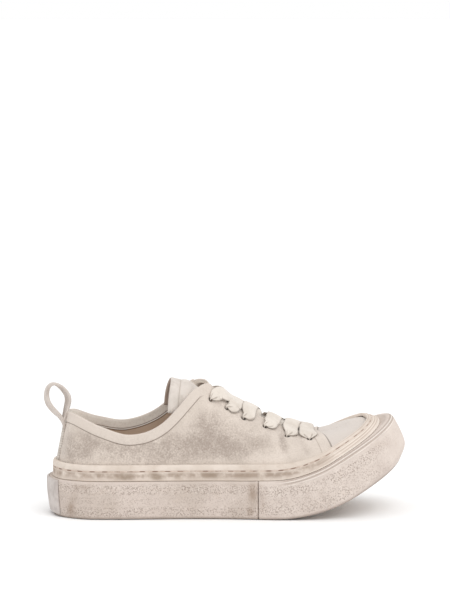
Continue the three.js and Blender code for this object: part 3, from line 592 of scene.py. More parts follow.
# At the toe, pairs of a dark and a light line run along the rand: painted shade and painted highlight
# standing for fine grooves and ridges.
for level, strength in ((0.16, 0.4), (0.34, 0.45), (0.84, 0.35)):
    paint.coat(part.line(level, 0.015, 0.04) * toe * strength, 160, 138, 124)
    paint.coat(part.line(level + 0.06, 0.01, 0.04) * toe * strength, 238, 227, 216)
# The rand's foot is painted lighter: a painted highlight along its bead, which also lightens the shade of the
# crevice below it.
paint.coat((1 - part.between(0.02, 0.14)) * 0.6 * (1 - toe), 226, 213, 200)
paint.coat((1 - part.between(0, 0.1)) * 0.6 * toe, 240, 231, 222)
relief = paint.noise(1.4, 3, 0.6) * 0.5 + paint.noise(5, 2) * 0.5
paint.cover(rand, relief, 0.3)


def stitches(name, middles, ways, ups, length, radius, sink):
    """Stitches of thread: each a thick bow between two holes, highest in its middle, with round ends
    sunk by a depth. The section is a circle, drawn in at both ends."""
    s = np.linspace(-1, 1, 9)
    a = (np.arange(8) + 0.5) * math.pi / 4
    flats = np.cross(ways, ups)
    ahead, down = (s * length / 2)[:, None], (sink * s ** 4)[:, None]
    centre = middles[:, None] + ways[:, None] * ahead - ups[:, None] * down
    thick = (radius * np.sqrt(1 - 0.9 * s ** 6))[:, None, None]
    section = flats[:, None, None] * np.cos(a)[:, None] + ups[:, None, None] * np.sin(a)[:, None]
    return tubes(name, centre[:, :, None] + section * thick)


steps = np.interp(np.arange(stitch_count) + 0.5, turns, t)
seat = around(RAND_THICKNESS, steps) * STITCH_SEAT
middles = rand_point(steps, STITCH_LEVEL + 0 * steps, seat + 0.1)
ways = unit(rand_point(steps + 0.02, STITCH_LEVEL + 0 * steps, seat)
            - rand_point(steps - 0.02, STITCH_LEVEL + 0 * steps, seat))
ups = unit(rand_point(steps, STITCH_LEVEL + 0 * steps, seat + 1) - middles)
rand_thread = stitches("rand_stitches", middles, ways, ups, length=7.2, radius=0.4, sink=0.7)
finish(rand_thread, None)
clouded(rand_thread, "waxed_thread", 0.7, (9, 3), (216, 200, 187), (190, 170, 155), (0.5, 2), 0.1,
        sheen=0.2, high=0.65)

# ----------------------------------------------------------
# Upper: vamp and quarters of suede in one shell, pulled over the last and cemented into the cup. The
# collar is bound with a folded strip, and the quarters' front edge, bound too, laps over the vamp.
COLLAR = np.array([
    [16.8, 0, 83], [24, 17, 82], [44, 27.5, 73.4], [67.5, 31, 67.3], [92, 29.5, 75.3], [119, 21, 102],
    [135, 0, 113.5]])
CREST = np.array([
    [135, 0, 113.5], [150, 0, 98], [170, 0, 87.4], [190, 0, 77.4], [209, 0, 70.2], [225, 0, 65],
    [240, 1.5, 67.4], [249.5, 3.4, 71.7], [253, 4.4, 73.2]])
CREST_START, CREST_END, THROAT_BASE, UPPER_THICKNESS = 6, 13.25, 221.0, 2.0
ARRIVAL_LIFT = mirrored(82, 82, 82, 82, 78, 66, 12, 20, 26, 28, 16, 0, 0, 0, 0)
ROOT_PULL = mirrored(0.35, 0.35, 0.35, 0.35, 0.36, 0.38, 0.4, 0.36, 0.3, 0.24, 0.25, 0.3, 0.34, 0.36, 0.36)
CREST_PULL = mirrored(0.3, 0.3, 0.32, 0.34, 0.32, 0.25, 0.18, 0.18, 0.2, 0.25, 0.36, 0.46, 0.5, 0.46, 0.42)
EYELET_STATIONS = np.array([5.8, 6.5, 7.1, 7.95, 8.9, 9.95])
EYELET_SETBACKS = np.array([14, 13.4, 14, 14, 15.2, 15.4])
INNER_RISE = 4.6


def near_of(t):
    """The station of the same place on the outer side."""
    return HALF - np.abs(HALF - t)


def rib_top(t):
    """Upper end of a rib: on the collar up to station 6, then on the crest of the instep."""
    near, inner = near_of(t), t > HALF
    row = np.vstack([COLLAR[1] * (1, -1, 1), COLLAR, COLLAR[5] * (1, -1, 1)])
    collar = along_row(row, np.minimum(near, CREST_START) + 1)
    collar[..., 1] *= np.where(inner, 1, -1)
    collar[..., 2] += np.where(inner, INNER_RISE * smooth(near, 1.3, 3.8) * (1 - smooth(near, 4, 5.8)), 0)
    crest = along_row(CREST, np.clip(near, CREST_START, CREST_END) - CREST_START)
    return np.where((near < CREST_START)[..., None], collar, crest)


def crest_way(near):
    """Direction of the crest, from two near points of it."""
    near = np.minimum(near, CREST_END)
    return unit(rib_top(np.minimum(near + 0.05, CREST_END)) - rib_top(near - 0.05))


def rib_arrival(t):
    """Direction in which a rib comes up to its top: steep at the collar, level across the crest, and
    fanned round the end of the crest at the toe."""
    near, side = near_of(t), np.where(t > HALF, -1.0, 1.0)
    share = np.clip(1.5 - near / 4, 0, 1)[..., None]
    level = unit(np.stack([0 * side, side], -1) * (1 - share) + inward(t) * share)
    lift = np.radians(around(ARRIVAL_LIFT, t))
    rising = np.concatenate([level * np.cos(lift)[..., None], np.sin(lift)[..., None]], -1)
    turned = math.pi / 2 * (HALF - near) / (HALF - CREST_END)
    fan = -crest_way(near) * np.cos(turned)[..., None]
    fan[..., 1] += side * np.sin(turned)
    return np.where((near > CREST_END)[..., None], unit(fan), rising)


def last_surface(t, v):
    """Outer face of the upper: v from 0 at the feather edge to 1 at the rand's top, and on to 2 at the
    collar or crest, where each rib is a cubic Bezier curve."""
    t, v = np.broadcast_arrays(np.asarray(t, float), np.asarray(v, float))
    flat = lower_side(t, np.clip(v, 0, 1), 0)
    low = place(t, flat[..., 0], flat[..., 1])
    inset, tilt, normal = around(RAND_INSET, t), np.radians(around(RAND_TILT, t)), inward(t)
    root = place(t, inset, around(RAND_TOP, t))
    angle = turn(around(OUTLINE, t)[..., 0] + normal[..., 0] * inset)
    level = normal[..., 0] * np.sin(tilt)
    leaving = np.stack([
        level * np.cos(angle) - np.cos(tilt) * np.sin(angle), normal[..., 1] * np.sin(tilt),
        level * np.sin(angle) + np.cos(tilt) * np.cos(angle)], -1)
    top = rib_top(t)
    span = np.linalg.norm(top - root, axis=-1, keepdims=True)
    first = root + leaving * span * around(ROOT_PULL, t)[..., None]
    second = top - rib_arrival(t) * span * around(CREST_PULL, t)[..., None]
    w = np.clip(v - 1, 0, 1)[..., None]
    high = (1 - w) ** 3 * root + 3 * w * (1 - w) ** 2 * first + 3 * w ** 2 * (1 - w) * second + w ** 3 * top
    return np.where((v <= 1)[..., None], low, high)


def last_normal(t, v):
    """Outward direction of the upper's surface, from the differences of near points of it."""
    t, v = np.broadcast_arrays(np.asarray(t, float), np.asarray(v, float))
    across = last_surface(t + 0.03, v) - last_surface(t - 0.03, v)
    up = last_surface(t, np.minimum(v + 0.01, 2)) - last_surface(t, np.maximum(v - 0.01, 0))
    way = crest_way(near_of(t))
    crest = unit(np.stack([-way[..., 2], 0 * way[..., 0], way[..., 0]], -1))
    on_crest = (v > 1.999) & (near_of(t) >= CREST_START)
    return np.where(on_crest[..., None], crest, unit(np.cross(across, up)))


def throat_half(along):
    """Half width of the throat: rounded at its top corners and round at its base."""
    wide = 11 + 2 * np.clip((208 - along) / 60, 0, 1)
    return wide * np.sqrt(np.clip((THROAT_BASE - along) / 9, 0, 1)) + 0.03 * np.clip(137 - along, 0, 14) ** 2


def edge_of(t):
    """Upper end of the leather on a rib: the throat's edge where there is one, else the rib's top."""
    def inside(v):
        point = last_surface(t, v)
        return np.abs(point[..., 1]) < throat_half(point[..., 0])
    low, high = np.ones(t.shape), np.full(t.shape, 2.0)
    cut = (near_of(t) >= CREST_START - 1.5) & inside(high)
    for _ in range(24):
        middle = (low + high) / 2
        within = inside(middle)
        low, high = np.where(within, low, middle), np.where(within, middle, high)
    return np.where(cut, low, 2.0)


def reading(walked, targets):
    """Positions, in steps, at which rising rows of lengths reach their targets."""
    k = np.clip((walked[:, None] <= targets[..., None]).sum(-1) - 1, 0, walked.shape[1] - 2)
    low, high = np.take_along_axis(walked, k, 1), np.take_along_axis(walked, k + 1, 1)
    return k + np.clip((targets - low) / np.maximum(high - low, 1e-9), 0, 1)


def eyelet_at(t):
    """Level of an eyelet's centre on its rib, set back from the throat's edge."""
    edge = edge_of(t)
    span = np.linalg.norm(last_surface(t, edge) - last_surface(t, edge - 0.3), axis=-1)
    return edge - 0.3 * np.interp(near_of(t), EYELET_STATIONS, EYELET_SETBACKS) / span


def distance_to(points, line):
    """Distance from each point to the nearest point of a line, by the square of their difference."""
    flat = points.reshape(-1, 3)
    square = (flat ** 2).sum(1)[:, None] + (line ** 2).sum(1) - 2 * flat @ line.T
    return np.sqrt(np.maximum(square.min(1), 0)).reshape(points.shape[:-1])


finer = np.arange(4.6, 6.4, 1 / 40)
t = np.unique(np.round(np.concatenate([np.arange(0, LOOP, 1 / 20), finer, LOOP - finer]), 6))
edge = edge_of(t)
is_open = (near_of(t) < CREST_START) | (edge < 2)
DEEPEST, BINDING, BINDING_END, STEPS = 0.5, 7.3, 6.6, 240
rib = last_surface(t[:, None], edge[:, None] + (DEEPEST - edge[:, None]) * np.linspace(0, 1, STEPS + 1))
walked = travelled(rib)
topline = last_surface(t, edge)[(near_of(t) < BINDING_END) & is_open]
slant = reading(walked, np.full((len(t), 1), BINDING))[:, 0]
probe = last_surface(t, edge + (DEEPEST - edge) * slant / STEPS)
stretch = np.where(near_of(t) < 5.4, np.clip(BINDING / distance_to(probe, topline), 1, 1.9), 1)
stretch = np.convolve(np.pad(stretch, 6, "wrap"), np.ones(13) / 13, "valid")
near_edge = np.array([0, 0.4, 0.9, 1.6, 2.6, 3.8, 5.2, 6.1, 6.6, 6.95, 7.3, 7.65, 8.1, 9.2, 11])
targets = near_edge * stretch[:, None]
rest = (walked[:, -1:] - targets[:, -1:]) * np.linspace(0, 1, 50)[1:]
targets = np.concatenate([targets, targets[:, -1:] + rest], 1)
levels = edge[:, None] + (DEEPEST - edge[:, None]) * reading(walked, targets) / STEPS
shell, normal = last_surface(t[:, None], levels), last_normal(t[:, None], levels)
rim = distance_to(shell, topline)
rim = np.where((near_of(t) < BINDING_END)[:, None], rim, FAR_OFF)
band = 1 - smooth(shell[..., 0], 122, 129)
SEAM_BASE, SEAM_SWEEP, FACING = 223.0, 0.165, 8.6
seam = shell[..., 0] - SEAM_BASE - SEAM_SWEEP * np.sqrt(shell[..., 1] ** 2 + 9)


def ridge(points, ends, width):
    """1 along a line between two ends in the shoe's length and height, fading across it as a Gaussian
    curve and towards its ends."""
    (x0, z0), (x1, z1) = ends
    way = np.array([x1 - x0, z1 - z0])
    length = math.hypot(*way)
    way = way / length
    along = (points[..., 0] - x0) * way[0] + (points[..., 2] - z0) * way[1]
    across = (points[..., 2] - z0) * way[0] - (points[..., 0] - x0) * way[1]
    ends = smooth(along, -0.15 * length, 0.25 * length) * (1 - smooth(along, 0.75 * length, 1.15 * length))
    return np.exp(-(across / width) ** 2) * ends


CREASE_DEPTH = 1.5
CREASES = [
    (-1, ((190, 68), (193, 52)), 3.0, -0.9), (-1, ((197, 66), (202, 52)), 3.0, 0.5),
    (-1, ((182, 70), (184, 56)), 3.2, 0.4), (-1, ((205, 64), (211, 52)), 2.4, -0.5),
    (-1, ((24, 70), (44, 56)), 5.0, -0.7), (-1, ((30, 60), (60, 50)), 5.0, 0.4),
    (-1, ((92, 66), (128, 56)), 7.0, -0.7), (-1, ((120, 78), (150, 62)), 6.0, 0.5),
    (-1, ((60, 60), (96, 52)), 6.0, -0.4), (-1, ((148, 72), (174, 58)), 5.0, -0.5),
    (-1, ((132, 96), (142, 90)), 2.2, -0.5), (-1, ((130, 91), (138, 84)), 2.4, 0.35),
    (1, ((186, 70), (192, 52)), 4.0, -0.9), (1, ((198, 66), (206, 52)), 4.0, -0.7),
    (1, ((96, 70), (140, 58)), 7.0, -0.7), (1, ((36, 68), (60, 54)), 6.0, -0.6),
    (1, ((150, 80), (176, 60)), 5.0, 0.5)]
relief = sum(CREASE_DEPTH * depth * ridge(shell, ends, width) * smooth(side * shell[..., 1], 2, 12)
             for side, ends, width, depth in CREASES)
# hollow: how deep the creases sink; the suede is painted darker there as painted shade.
hollow = np.clip(-relief, 0, 1) * smooth(rim, 3, 12)
bound = (1 - smooth(rim, BINDING - 0.35, BINDING + 0.15)) * band
relief = relief * smooth(rim, 3, 12) + 0.6 * bound - 0.45 * np.exp(-((rim - BINDING) / 0.4) ** 2) * band
lap = smooth(seam, -0.4, 0.6)
relief += 0.45 * smooth(seam, -FACING - 0.6, -FACING + 0.4) * (1 - lap) - 0.45 * lap
holes = np.concatenate([EYELET_STATIONS, LOOP - EYELET_STATIONS])
hole_centres = last_surface(holes, eyelet_at(holes))
pit = distance_to(shell, hole_centres)
relief -= 1.5 * (1 - smooth(pit, 1.2, 3.4))
shell = shell + normal * relief[..., None]

count = levels.shape[1]
depth = np.where(is_open, 1.0, 0.0)[:, None]
lining_pick = np.unique([*range(len(near_edge)), *range(len(near_edge), count, 4), count - 1])[::-1]
lining = last_surface(t[:, None], levels[:, lining_pick]) - normal[:, lining_pick] * UPPER_THICKNESS
thick = (UPPER_THICKNESS + relief[:, :1]) / 2 * depth
heart = shell[:, :1] - normal[:, :1] * thick[..., None]
upward_rib = unit(last_surface(t, edge) - last_surface(t, edge - 0.02))[:, None]
arc = np.linspace(math.pi, 0, 7)[1:-1]
bead = heart + (normal[:, :1] * np.cos(arc)[:, None] + upward_rib * np.sin(arc)[:, None]) * thick[..., None]
shell_rows = np.concatenate([shell, lining, bead], 1)
skip = np.zeros(shell_rows.shape[:2], bool)
both_shut = ~(is_open | np.roll(is_open, -1))
skip[:, count + len(lining_pick) - 1] = both_shut
skip[:, count + len(lining_pick):] = both_shut[:, None]


def over(outer, lining, at_bead):
    """Values of the outer face, the lining and the bead of the edge, side by side as the rows are."""
    parts = (np.broadcast_to(lining, (len(t), len(lining_pick))), np.broadcast_to(at_bead, bead.shape[:2]))
    return np.concatenate([outer, *parts], 1)


grime = smudges(
    shell_rows, (-1, 70, 58, 56, 13, 0.5), (-1, 90, 49, 45, 7, 0.4), (-1, 22, 55, 13, 12, 0.6),
    (-1, 146, 66, 44, 18, 0.38), (-1, 36, 62, 9, 8, 0.35), (-1, 58, 57, 12, 5, 0.35),
    (-1, 100, 57, 14, 6, 0.4), (-1, 122, 62, 16, 8, 0.4), (-1, 128, 78, 12, 10, 0.3),
    (-1, 141, 64, 15, 9, 0.4), (-1, 152, 54, 14, 7, 0.4), (-1, 132, 80, 12, 10, 0.3),
    (-1, 172, 60, 9, 8, 0.3), (-1, 191, 60, 4, 8, 0.5), (-1, 183, 72, 4, 4, 0.4), (-1, 20, 50, 4, 8, 0.3),
    (1, 60, 60, 30, 9, 0.6), (1, 120, 60, 30, 11, 0.75), (1, 190, 58, 14, 9, 0.5), (1, 235, 62, 20, 8, 0.3),
    (-1, 246, 70, 12, 5, 0.2), (-1, 210, 56, 8, 5, 0.25))
upper = skin(
    "upper", shell_rows, skip=skip, rim=over(rim, rim[:, lining_pick], 0), inside=over(0 * rim, 1, 0),
    grime=grime, seam=over(seam, -60, -60), pit=over(pit, pit[:, lining_pick], FAR_OFF),
    hollow=over(hollow, 0, 0), binding=over(band, band[:, lining_pick], 1))
finish(upper, "upper")

suede = Paint("worn_suede", 0.92, 0.25)
rim, inside, seam, pit = (suede.field(name) for name in ("rim", "inside", "seam", "pit"))
nap = suede.noise(0.7, 3, 0.7)
suede.start((30, 3), (0.3, 0.7), (212, 200, 189), (201, 189, 178))
suede.coat(suede.noise(7, 4, 0.65).between(0.5, 0.75) * 0.35, 189, 177, 166)
mottle = suede.noise(14, 4, 0.62).between(0.3, 0.7) * 0.7 + suede.noise(1.4, 2, 0.7).between(0.35, 0.65) * 0.6
# Dirt from the smudges over a mottle, and painted shade in the crease hollows.
darkening = suede.field("grime") * (0.3 + mottle) + suede.field("hollow") * 0.3
suede.coat(darkening.between(0.02, 1.15) * 0.72, 150, 136, 126)
grain = suede.noise(1.3, 2, 0.7)
suede.coat(grain.between(0.5, 0.72) * (0.14 + 0.4 * suede.field("grime")), 140, 126, 116)
suede.coat((1 - grain.between(0.3, 0.46)) * 0.25, 228, 218, 208)
bound = (1 - rim.between(BINDING - 0.3, BINDING + 0.1)) * suede.field("binding")
suede.coat(bound * 0.55, 208, 197, 187)
suede.coat(rim.line(BINDING, 0.1, 0.4) * suede.field("binding") * 0.7, 112, 96, 84)
vamp = seam.between(0, 0.5)
suede.coat(vamp * 0.7, 206, 197, 190)
# A dark line along the quarters' front edge, with painted shadow that the edge casts ahead onto the vamp.
suede.coat(seam.line(0.35, 0.15, 0.8) * 0.7, 112, 98, 86)
suede.coat(seam.line(-8.6, 0.1, 0.4) * 0.45, 150, 134, 120)
# The eyelets are painted near black: painted shade inside the holes.
suede.coat(1 - pit.between(1.1, 2.6), 58, 48, 42)
# Inside the collar the binding's folded face is painted near white, lighter than the binding outside: its own
# pale colour with painted light over the collar's shade.
flap = suede.mix(suede.noise(2, 3, 0.7).between(0.4, 0.7), tint(252, 243, 232), tint(242, 231, 219))
lining_colour = suede.mix(rim.between(7.2, 7.6), flap, tint(206, 180, 157))
# Under the binding inside: a dark line, a light line, then a painted shadow below the binding's edge.
for at, half, colour in ((6.1, 0.25, (128, 98, 80)), (6.9, 0.3, (255, 250, 242)), (7.7, 0.35, (110, 84, 68))):
    lining_colour = suede.mix(rim.line(at, half, 0.25) * 0.8, lining_colour, tint(*colour))
# The lining forward of the collar, away from its edge, is painted dark brown: painted shade inside the ears.
shade_behind_ear = (1 - suede.field("binding")) * rim.between(2, 3.2)
lining_colour = suede.mix(shade_behind_ear * 0.85, lining_colour, tint(104, 84, 70))
suede.colour = suede.mix(inside, suede.colour, lining_colour)
step = suede.bump(vamp * -1.0, 0.5)
suede.cover(upper, nap * 0.5 + suede.noise(2.4, 3) * 0.7, 0.35, step)

# ----------------------------------------------------------
# Backstay tape: a ribbed woven tape sewn down the back seam of the upper, from the pull loop to the
# rand, left bare.
TAPE_HALF, TAPE_THICKNESS = 6.5, 1.9
u = np.linspace(-1, 1, 15)
s = np.linspace(1.93, 1.0, 60)
tape_t = u[None] * TAPE_HALF / 24 + 0 * s[:, None]
tape_v = s[:, None] + 0 * u[None]
face, lift = last_surface(tape_t, tape_v), last_normal(tape_t, tape_v)
tape_out = face + lift * (TAPE_THICKNESS * np.sqrt(1 - 0.85 * u ** 8))[..., None]
tape_in = (face - lift * 0.2)[:, ::-1]
backstay = tubes("backstay_tape", np.concatenate([tape_out, tape_in], 1)[None])
finish(backstay, None)
paint = Paint("ribbed_tape", 0.9, 0.2)
ribs = paint.node("ShaderNodeTexWave", {"bands_direction": "Z"}, {
    "Vector": paint.spot, "Scale": 160.0, "Distortion": 0.6, "Detail": 2.0})
paint.start((6, 4), (0.35, 0.7), (214, 206, 197), (186, 176, 166))
paint.coat(ribs * 0.35, 150, 142, 134)
paint.cover(backstay, ribs + paint.noise(0.6, 2) * 0.5, 0.35)

# ----------------------------------------------------------
# Insole: a footbed of worn brownish fabric over foam, laid on the cup's floor and dished under the heel
# and the ball.
t = np.arange(0, LOOP, 1 / 8)
rim_inset = around(FEATHER_INSET, t) + UPPER_THICKNESS + 0.7
low, high = CUP_FLOOR + GAP, CUP_FLOOR + GAP + 4
parts = np.array([0, 0.04, 0.1, 0.2, 0.35, 0.55, 0.8, 1])
bed_rim = place(t, rim_inset + 1, high + 0 * t)[:, None]
bed = bed_rim * (1 - parts[:, None]) + spine(t, high)[:, None] * parts[:, None]
heel_dish = np.exp(-((bed[..., 0] - 45) / 26) ** 2 - (bed[..., 1] / 22) ** 2)
ball_dish = np.exp(-((bed[..., 0] - 205) / 30) ** 2 - ((bed[..., 1] + 2) / 28) ** 2)
bed[..., 2] -= 1.1 * heel_dish + 0.9 * ball_dish
sides = [place(t, rim_inset + out, level + 0 * t)
         for out, level in ((0, low), (0, high - 1.2), (0.3, high - 0.4))]
bed_rows = np.concatenate([spine(t, low)[:, None], np.stack(sides, 1), bed], 1)
footbed = skin("insole", bed_rows, ring=False)
finish(footbed, "insole")
clouded(footbed, "footbed_fabric", 0.95, (18, 4), (168, 148, 130), (128, 108, 92), (0.8, 3, 0.7), 0.3,
        sheen=0.1)

# ----------------------------------------------------------
# Tongue: a curved sheet of canvas-backed suede, sewn in at the base of the throat. It stands free
# above the collar, with a hem folded over along its top edge, and sags below the laces.
TONGUE_CLEAR, TONGUE_THICKNESS, LACE_ROOM = UPPER_THICKNESS + 0.6, 2.2, 1.3
RIB_SHARE, RIB_STEPS = 1.2, 300
widths = np.linspace(-1, 1, 61)
sewn = np.linspace(10.9, 7.05, 60)


def tongue_face(near, width):
    """The tongue's outer face and direction under the upper: found on each rib at a share of the
    tongue's half width from the crest, and sunk below the leather."""
    side_t = np.where(width > 0, LOOP - near, near)
    v = 2 - RIB_SHARE * np.linspace(0, 1, RIB_STEPS + 1)
    rib = last_surface(side_t[:, None], v)
    reach = np.abs(width) * (30 - 2.2 * (near - CREST_START))
    level = 2 - RIB_SHARE * reading(travelled(rib), reach[:, None])[:, 0] / RIB_STEPS
    way = last_normal(side_t, level)
    sunk = TONGUE_CLEAR + LACE_ROOM * smooth(near, 7.0, 7.6) * (1 - smooth(near, 10.4, 10.9))
    return last_surface(side_t, level) - way * sunk[:, None], way


grid_near, grid_width = np.meshgrid(sewn, widths, indexing="ij")
under_face, under_way = tongue_face(grid_near.ravel(), grid_width.ravel())
under_face, under_way = (part.reshape(*grid_near.shape, 3) for part in (under_face, under_way))
TOP_ALONG, TOP_HALF, TOP_HEIGHT, TOP_DROP = 102.0, 23.0, 110.6, 26.0
angle = math.pi / 2 * widths
top_edge = np.stack([TOP_ALONG - 4 * np.sin(angle) ** 2, TOP_HALF * np.sin(angle),
                     TOP_HEIGHT - TOP_DROP * (1 - np.cos(angle))], -1)
top_way = unit(np.stack([0.1 + 0 * angle, np.sin(angle), np.cos(angle)], -1))
far = np.linspace(0, 1, 46)[1:, None, None]
free_face = under_face[-1] * (1 - far) + top_edge * far
free_way = unit(under_way[-1] * (1 - far) + top_way * far)
face = np.concatenate([under_face, free_face])
way = np.concatenate([under_way, free_way])
fall = np.linalg.norm(face - face[-1], axis=-1)
arch = 2.6 * np.exp(-((face[..., 0] - 116) / 6) ** 2) - 4.2 * np.exp(-((face[..., 0] - 133) / 8) ** 2)
face[..., 2] += arch * np.cos(angle) * smooth(fall, 0, 10)
hem = (1 - smooth(fall, 7.6, 8.4)) * smooth(fall, -1, 0)
ripple = 0.35 * np.sin(face[..., 1] / 3.1 + face[..., 0] / 9) * smooth(fall, 6, 20)
face = face + way * (0.7 * hem - 0.35 * np.exp(-((fall - 8.4) / 0.5) ** 2) + ripple * 0.5)[..., None]
edge_soft = np.sqrt(np.clip(1 - np.abs(widths) ** 24, 0.04, 1))[None, :, None]
end_soft = np.sqrt(np.clip(fall / 1.6, 0.12, 1))[..., None]
half_thick = TONGUE_THICKNESS / 2 + 0.35 * hem[..., None]
middle = face - way * half_thick
outer_face = middle + way * half_thick * edge_soft * end_soft
inner_face = middle - way * half_thick * edge_soft * end_soft
tongue_rows = np.concatenate([outer_face, inner_face[:, ::-1]], 1)
tongue = tubes("tongue", tongue_rows[None], fall=np.concatenate([fall, fall[:, ::-1]], 1)[None],
               inside=np.concatenate([0 * fall, 0 * fall + 1], 1)[None])
finish(tongue, "tongue")
canvas = Paint("tongue_suede", 0.93, 0.2)
fall, inside = canvas.field("fall"), canvas.field("inside")
canvas.start((14, 4), (0.35, 0.7), (213, 204, 196), (198, 189, 180))
canvas.coat(canvas.noise(5, 4, 0.65).between(0.5, 0.72) * 0.45, 184, 173, 162)
canvas.coat(fall.line(8.5, 0.2, 0.5) * 0.5, 168, 156, 144)
canvas.coat(inside * 0.85, 164, 141, 125)
canvas.cover(tongue, canvas.noise(0.8, 3, 0.7) + canvas.noise(4, 3), 0.35)

# ----------------------------------------------------------
# Lace: one wide flat cotton ribbon, threaded up from a bar at the toe end in five crossings. It comes out
# of each eyelet gathered into folds, spreads, crosses the throat and dips under the other side's edge.
LACE_HALF, LACE_THICK = 6.5, 1.0


def ribbon(points, ups, phase, toeward, gather_far=False):
    """Sections of a ribbon along a curve through points: a flat lens section, crossways to the path,
    drawn together into folds at the eyelet. It widens from there like a leaf, slowly on its heel side
    and at once, with a belly, on its toe side."""
    s = np.linspace(0, len(points) - 1, 90)
    path, up = along_row(points, s), along_row(ups, s)
    way = unit(np.gradient(path, axis=0))
    flat = unit(np.cross(way, up))
    up = np.cross(flat, way)
    walked = travelled(path)
    left = np.minimum(walked, walked[-1] - walked) if gather_far else walked
    left = np.maximum(left - 2.3, 0)
    u, top = flat_section(17)
    belly = 1.1 * smooth(left, 0, 3.5) * (1 - smooth(left, 6, 14))
    spread = np.clip(left / 5, 0, 1)
    toe_side = 0.8 + (LACE_HALF - 0.8) * np.sqrt(spread) * (1.2 - 0.2 * spread) + belly
    heel_side = 0.7 + (LACE_HALF - 0.7) * np.clip(left / 12, 0, 1) ** 0.75
    if toeward == 0:
        heel_side = toe_side
    leading = np.where(u * (toeward or 1) > 0, 1.0, 0.0)
    half = toe_side[:, None] * leading + heel_side[:, None] * (1 - leading)
    fold_phase = np.cos(2.2 * math.pi * u + phase)
    folds = 0.32 * (smooth(left, -1, 2) * (1 - smooth(left, 2, 8)))[:, None] * fold_phase
    sway = 0.25 * np.sin(walked / 5 + phase)[:, None] * u
    crown = 0.5 * smooth(left, 0.5, 8)[:, None] * (1 - u ** 2) + sway
    thick = LACE_THICK / 2 * np.sqrt(1 - 0.8 * u ** 8)
    height = folds + crown + top * thick
    aside = flat[:, None] * (half * u)[..., None]
    # How deep in a fold's valley each point lies; the lace is painted darker there as painted shade.
    valley = (1 - smooth(left, 2, 8))[:, None] * np.clip(-fold_phase, 0, 1)
    return path[:, None] + aside + up[:, None] * height[..., None], u * (toeward or 1) + 0 * height, valley


def on_last(t, v, out):
    """A point off the upper's surface and the direction outward there."""
    t, v = np.array(float(t)), np.array(float(v))
    way = last_normal(t, v)
    return last_surface(t, v) + way * out, way


brink_near = np.linspace(5.3, 10.8, 300)
brink_along = last_surface(brink_near, edge_of(brink_near))[:, 0]
hole_along = last_surface(EYELET_STATIONS, eyelet_at(EYELET_STATIONS))[:, 0]


def brink(along, inner_side):
    """The station and level of the throat's edge at a distance from the heel."""
    near = float(np.interp(along, brink_along, brink_near))
    station = LOOP - near if inner_side else near
    return station, float(edge_of(np.array(station)))


def rising(i, along, inner_side):
    """Stops of a ribbon from its eyelet up over the throat's edge."""
    start = LOOP - EYELET_STATIONS[i] if inner_side else EYELET_STATIONS[i]
    hole = float(eyelet_at(np.array(start)))
    station, level = brink(along, inner_side)
    return [on_last(start, hole, -2.2), on_last(start, hole + 0.01, 0.5),
            on_last(start + 0.35 * (station - start), hole + 0.3 * (level - hole), 1.7),
            on_last(start + 0.7 * (station - start), hole + 0.68 * (level - hole), 2.0),
            on_last(station, level, 2.1)]


SLANT = [0.9, 0.5, 0.25, 0.35, 0.2]
ribbons = []
for i in range(5):
    for inner_side in (False, True):
        stride = hole_along[i + 1] - hole_along[i]
        stops = rising(i, hole_along[i] + SLANT[i] * stride, inner_side)
        station, level = brink(hole_along[i] + (SLANT[i] + 0.45) * stride, not inner_side)
        end = EYELET_STATIONS[i + 1] if inner_side else LOOP - EYELET_STATIONS[i + 1]
        dive = [on_last(station, level + 0.34 * (2 - level), 0.4), on_last(station, level - 0.01, -3.0),
                on_last(end, float(eyelet_at(np.array(end))) + 0.05, -3.1)]
        lift = 0.4 + 0.5 * i + (0.2 if inner_side else 1.7)
        middle = ((stops[-1][0] + dive[0][0]) / 2 + np.array([0, 0, lift]), unit(stops[-1][1] + dive[0][1]))
        points, ups = (np.array(part) for part in zip(*stops, middle, *dive))
        ribbons.append(ribbon(points, ups, 1.7 * i + 2.1 * inner_side, -1 if inner_side else 1))
bar = [rising(5, hole_along[5] - 1, inner_side) for inner_side in (False, True)]
middle = ((bar[0][-1][0] + bar[1][-1][0]) / 2 + np.array([0, 0, 2.6]), unit(bar[0][-1][1] + bar[1][-1][1]))
points, ups = (np.array(part) for part in zip(*bar[0], middle, *bar[1][::-1]))
ribbons.append(ribbon(points, ups, 0.6, 0, gather_far=True))
rows, side, valley = (np.stack(part) for part in zip(*ribbons))
laces = tubes("laces", rows, side=side, valley=valley)
finish(laces, "laces")
paint = Paint("cotton_lace", 0.9, 0.3)
side = paint.field("side")
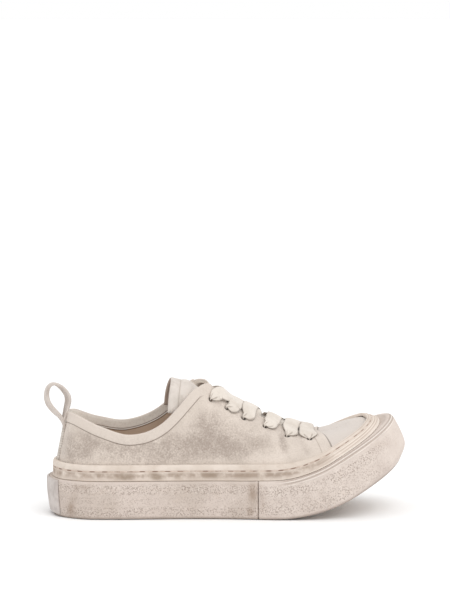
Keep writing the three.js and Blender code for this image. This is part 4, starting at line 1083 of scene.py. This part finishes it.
paint.start((12, 4), (0.35, 0.7), (220, 211, 201), (207, 197, 186))
# Both long edges are painted darker, the toe-side edge most: painted contact shadow where the lace lies on
# the leather.
paint.coat(side.between(0.8, 1.0) * 0.6, 140, 128, 117)
paint.coat((1 - side.between(-1.0, -0.85)) * 0.3, 160, 148, 136)
# The folds' valleys are painted darker: painted shade in the folds.
paint.coat(paint.field("valley").between(0.35, 0.95) * 0.6, 136, 122, 110)
weft = paint.noise(0.5, 2, 0.6)
paint.coat(paint.noise(3.5, 4, 0.65).between(0.52, 0.75) * 0.3, 188, 176, 163)
paint.cover(laces, weft * 0.7 + paint.noise(2.2, 2) * 0.6, 0.3)

# ----------------------------------------------------------
# Pull loop: a thick woven tape folded into a loop with a slight twist, sewn to the back of the collar.
LOOP_HALF, LOOP_HALF_THICK = 5.8, 1.3
PULL_LOOP = np.array([
    [13.6, 75.6], [14.9, 81], [16.6, 87.6], [17.6, 92], [17.2, 96.4], [14.8, 100.6], [11, 104.4],
    [6.8, 106.5], [3, 105.4], [0.6, 101.2], [0.2, 95.4], [1.6, 90.4], [4.4, 86.2], [7.7, 82.6],
    [10.8, 79.6], [13.2, 75.4], [14.6, 71]])
s = np.linspace(0, len(PULL_LOOP) - 1, 130)
flat_path = along_row(PULL_LOOP, s)
path = np.stack([flat_path[:, 0], 0 * s, flat_path[:, 1]], -1)
way = unit(np.gradient(path, axis=0))
across = np.array([0.0, 1.0, 0.0])
out = np.cross(way, across)
twist = np.radians(20) * np.sin(s / s[-1] * 2 * math.pi)
side = across * np.cos(twist)[:, None] + out * np.sin(twist)[:, None]
out = np.cross(way, side)
u, top = flat_section(13)
thick = top * LOOP_HALF_THICK * np.sqrt(1 - 0.8 * u ** 8)
section = side[:, None] * (LOOP_HALF * u)[:, None] + out[:, None] * thick[:, None]
pull = tubes("pull_loop", (path[:, None] + section)[None])
finish(pull, "pull_loop")
paint = Paint("woven_loop", 0.9, 0.2)
paint.start((10, 4), (0.35, 0.7), (206, 196, 188), (188, 176, 167))
paint.coat(paint.noise(2, 4, 0.7).between(0.5, 0.75) * 0.3, 180, 165, 152)
paint.cover(pull, paint.noise(0.6, 3, 0.7), 0.35)
